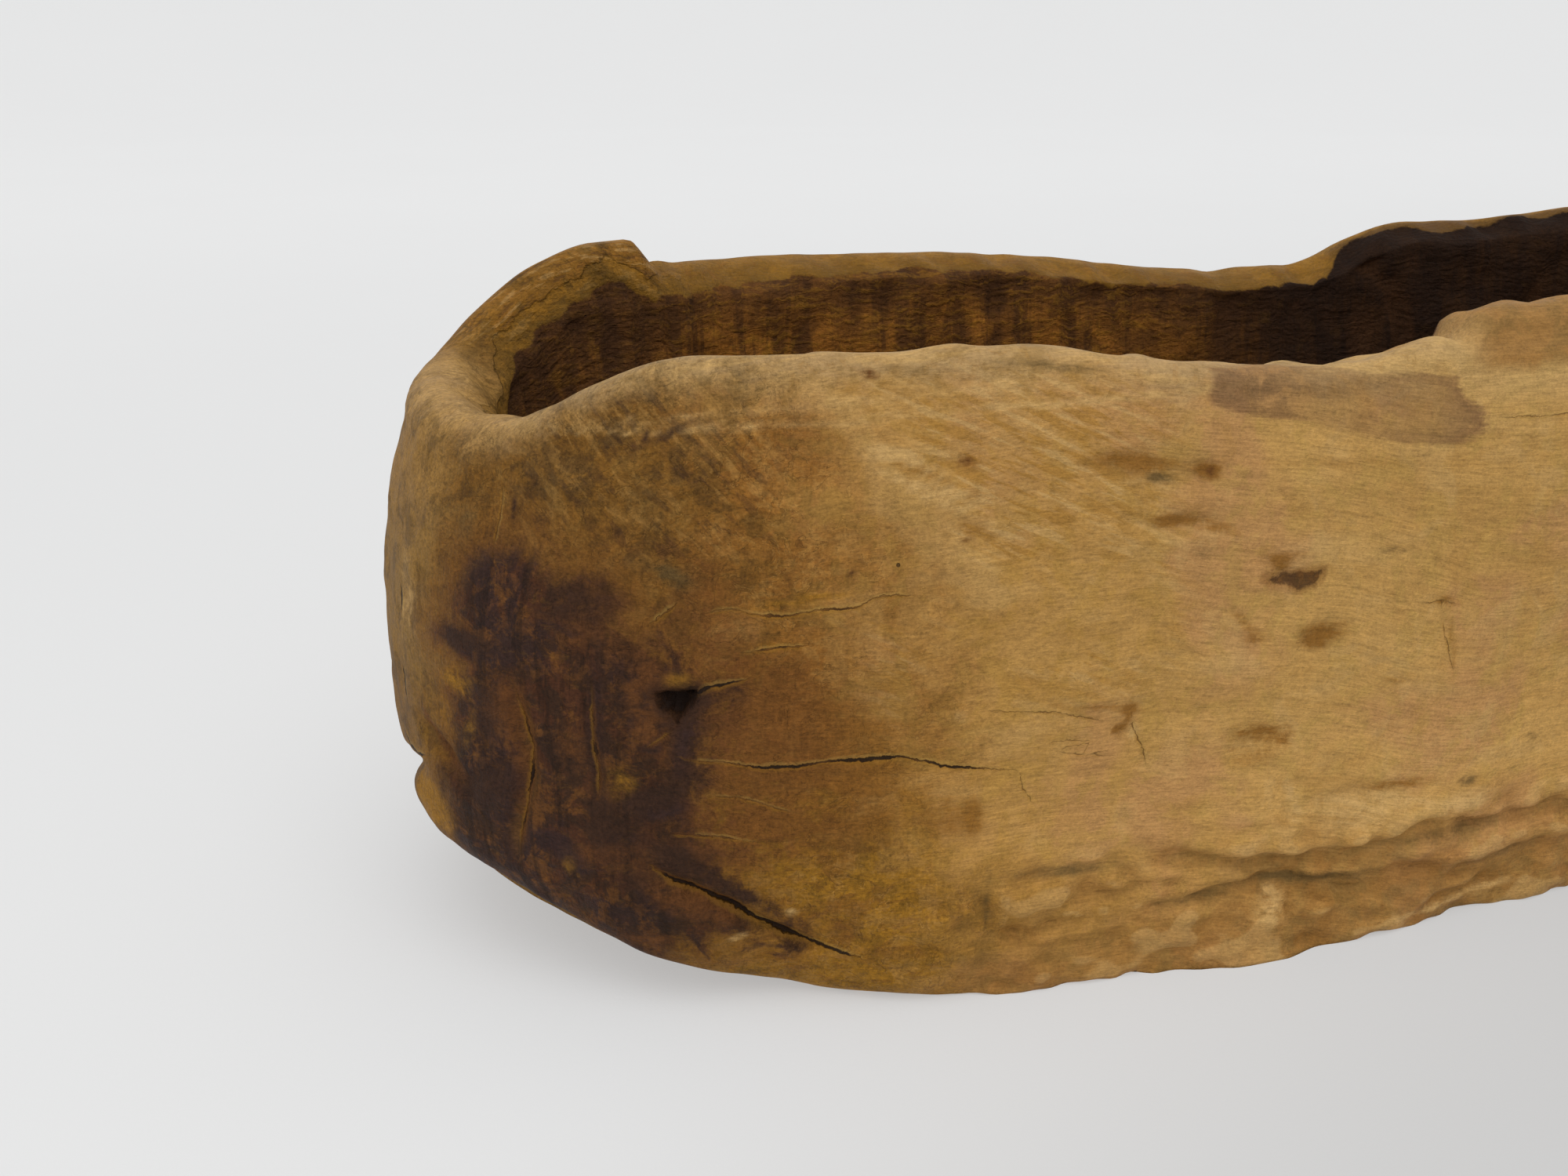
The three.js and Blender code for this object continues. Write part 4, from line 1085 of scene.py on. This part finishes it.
    roughness = stir(0.58, mottle, 0.35) + hollowed * 0.18 - stained * 0.06
    height = stir(0.0, fine, 0.0006, medium, 0.0005, mottle, 0.0026, dust, 0.0008, streaks, 0.0009,
                  slant, struck * 0.0012, tool, corner * 0.004, hatch, rough_part * 0.0009,
                  ridges, horn * worn * 0.005, dashes, hollowed * 0.003, flecks, leftness * 0.0016)
    height = height + ripples * hollowed * 0.0002 - wrinkles * leftness * 0.0005 - dark * 0.003 - face * 0.002
    return sheet.surface(wood, roughness, height, specular=0.09)


def plain_floor(colour, glow):
    """Matt pale floor with painted light falloff: a little darker towards the near right and lighter
    far off, with faint unevenness. Its glow keeps the shadow light."""
    sheet = Sheet("plain_floor")
    place = sheet.node("ShaderNodeTexCoord", {}, {}, "Object")
    tone = sheet.noise(place, 1.5, 3.0)
    x, y, _ = sheet.split(place)
    # Painted light falloff: darker towards the near right, lighter far off
    near = sheet.smooth(x * 0.6 - y, -0.15, 0.55, 1.0, 0.55)
    away = sheet.smooth(y, 0.5, 5.0, 0.9, 1.08)
    shade = sheet.shade(tuple(colour), near * away * (0.985 + tone * 0.03))
    grit = sheet.noise(place, 300.0, 2.0)
    return sheet.surface(shade, 0.75 + grit * 0.1, grit * 0.0001, specular=0.1, glow=glow)


def dish_mesh():
    """Round floor that turns up into a wall far off: a profile turned about the upright axis,
    flat to 7 m and then a quarter circle of 4 m radius."""
    spokes, flat_radius, bend_radius = 96, 7, 4
    bend = np.linspace(0, np.pi / 2, 25)
    radius = np.concatenate([[0.5, 2.0, 4.0], flat_radius + bend_radius * np.sin(bend)])
    height = np.concatenate([[0, 0, 0], bend_radius * (1 - np.cos(bend))])
    angle = np.linspace(0, 2 * np.pi, spokes + 1)[:-1]
    ring = np.stack([radius[:, None] * np.cos(angle), radius[:, None] * np.sin(angle),
                     height[:, None] + 0 * angle], axis=-1)
    points = np.concatenate([ring.reshape(-1, 3), [[0, 0, 0]]])
    i, j = np.meshgrid(np.arange(len(radius) - 1) * spokes, np.arange(spokes), indexing="ij")
    right = (j + 1) % spokes
    quads = np.stack([i + j, i + spokes + j, i + spokes + right, i + right], axis=-1)
    k = np.arange(spokes)
    hub = np.stack([k, (k + 1) % spokes, np.full(spokes, len(points) - 1)], axis=-1)
    mesh = bpy.data.meshes.new("pale_floor")
    mesh.from_pydata(points.tolist(), [], quads.reshape(-1, 4).tolist() + hub.tolist())
    mesh.polygons.foreach_set("use_smooth", np.ones(len(mesh.polygons), dtype=bool))
    mesh.update()
    return mesh


def show(name, data):
    """Adds an object at the origin for the data."""
    made = bpy.data.objects.new(name, data)
    bpy.context.scene.collection.objects.link(made)
    return made


class TROUGH_OT_body(bpy.types.Operator):
    """Builds the hewn log with its hollow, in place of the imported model's node"""

    bl_idname = "trough.body"
    bl_label = "Build Trough Body"

    def execute(self, context):
        if "trough_body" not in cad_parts:
            raise RuntimeError("the packed model has no node trough_body")
        body = show("trough_body_hewn", trough_mesh(context.scene.trough_sizes))
        body.data.materials.append(old_wood(context.scene.trough_colours))
        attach(body, "root")
        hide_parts("trough_body")
        return {"FINISHED"}


class TROUGH_OT_stage(bpy.types.Operator):
    """Lays the pale floor, hangs the soft light and sets up the camera"""

    bl_idname = "trough.stage"
    bl_label = "Build Stage"

    def execute(self, context):
        settings = context.scene.trough_stage
        floor = show("pale_floor", dish_mesh())
        floor.data.materials.append(plain_floor(settings.floor_colour, settings.glow))

        world = bpy.data.worlds.new("soft_sky")
        world.use_nodes = True
        sky = world.node_tree.nodes["Background"]
        sky.inputs["Color"].default_value = (1.0, 1.0, 1.0, 1.0)
        sky.inputs["Strength"].default_value = settings.sky
        context.scene.world = world

        light = bpy.data.lights.new("overhead", "AREA")
        light.shape, light.size, light.energy = "SQUARE", 2.6, settings.lamp
        lamp = show("overhead", light)
        lamp.location = (-0.8, -1.6, 2.9)
        lamp.rotation_euler = (np.radians(30.0), 0.0, 0.0)

        camera = show("camera", bpy.data.cameras.new("camera"))
        camera.data.sensor_width = 36.0
        camera.data.lens = settings.lens
        camera.location = settings.camera_place
        camera.rotation_euler = (np.pi / 2 - settings.camera_pitch, 0.0, -settings.camera_yaw)
        context.scene.camera = camera
        context.scene.view_settings.view_transform = "Standard"
        return {"FINISHED"}


class TROUGH_PT_panel(bpy.types.Panel):
    """Lists the trough's builders and settings"""

    bl_idname = "TROUGH_PT_panel"
    bl_label = "Dugout Trough"
    bl_space_type = "VIEW_3D"
    bl_region_type = "UI"
    bl_category = "Trough"

    def draw(self, context):
        layout = self.layout
        for operator in (TROUGH_OT_body, TROUGH_OT_stage):
            layout.operator(operator.bl_idname)
        for group in (context.scene.trough_sizes, context.scene.trough_colours, context.scene.trough_stage):
            box = layout.box()
            for name in group.__annotations__:
                box.prop(group, name)


CLASSES = (TroughSizes, TroughColours, StageSettings, TROUGH_OT_body, TROUGH_OT_stage, TROUGH_PT_panel)


def register():
    for made in CLASSES:
        bpy.utils.register_class(made)
    bpy.types.Scene.trough_sizes = PointerProperty(type=TroughSizes)
    bpy.types.Scene.trough_colours = PointerProperty(type=TroughColours)
    bpy.types.Scene.trough_stage = PointerProperty(type=StageSettings)


def unregister():
    del bpy.types.Scene.trough_stage
    del bpy.types.Scene.trough_colours
    del bpy.types.Scene.trough_sizes
    for made in reversed(CLASSES):
        bpy.utils.unregister_class(made)


def main():
    register()
    bpy.ops.trough.body()
    bpy.ops.trough.stage()


if __name__ == "__main__":
    main()
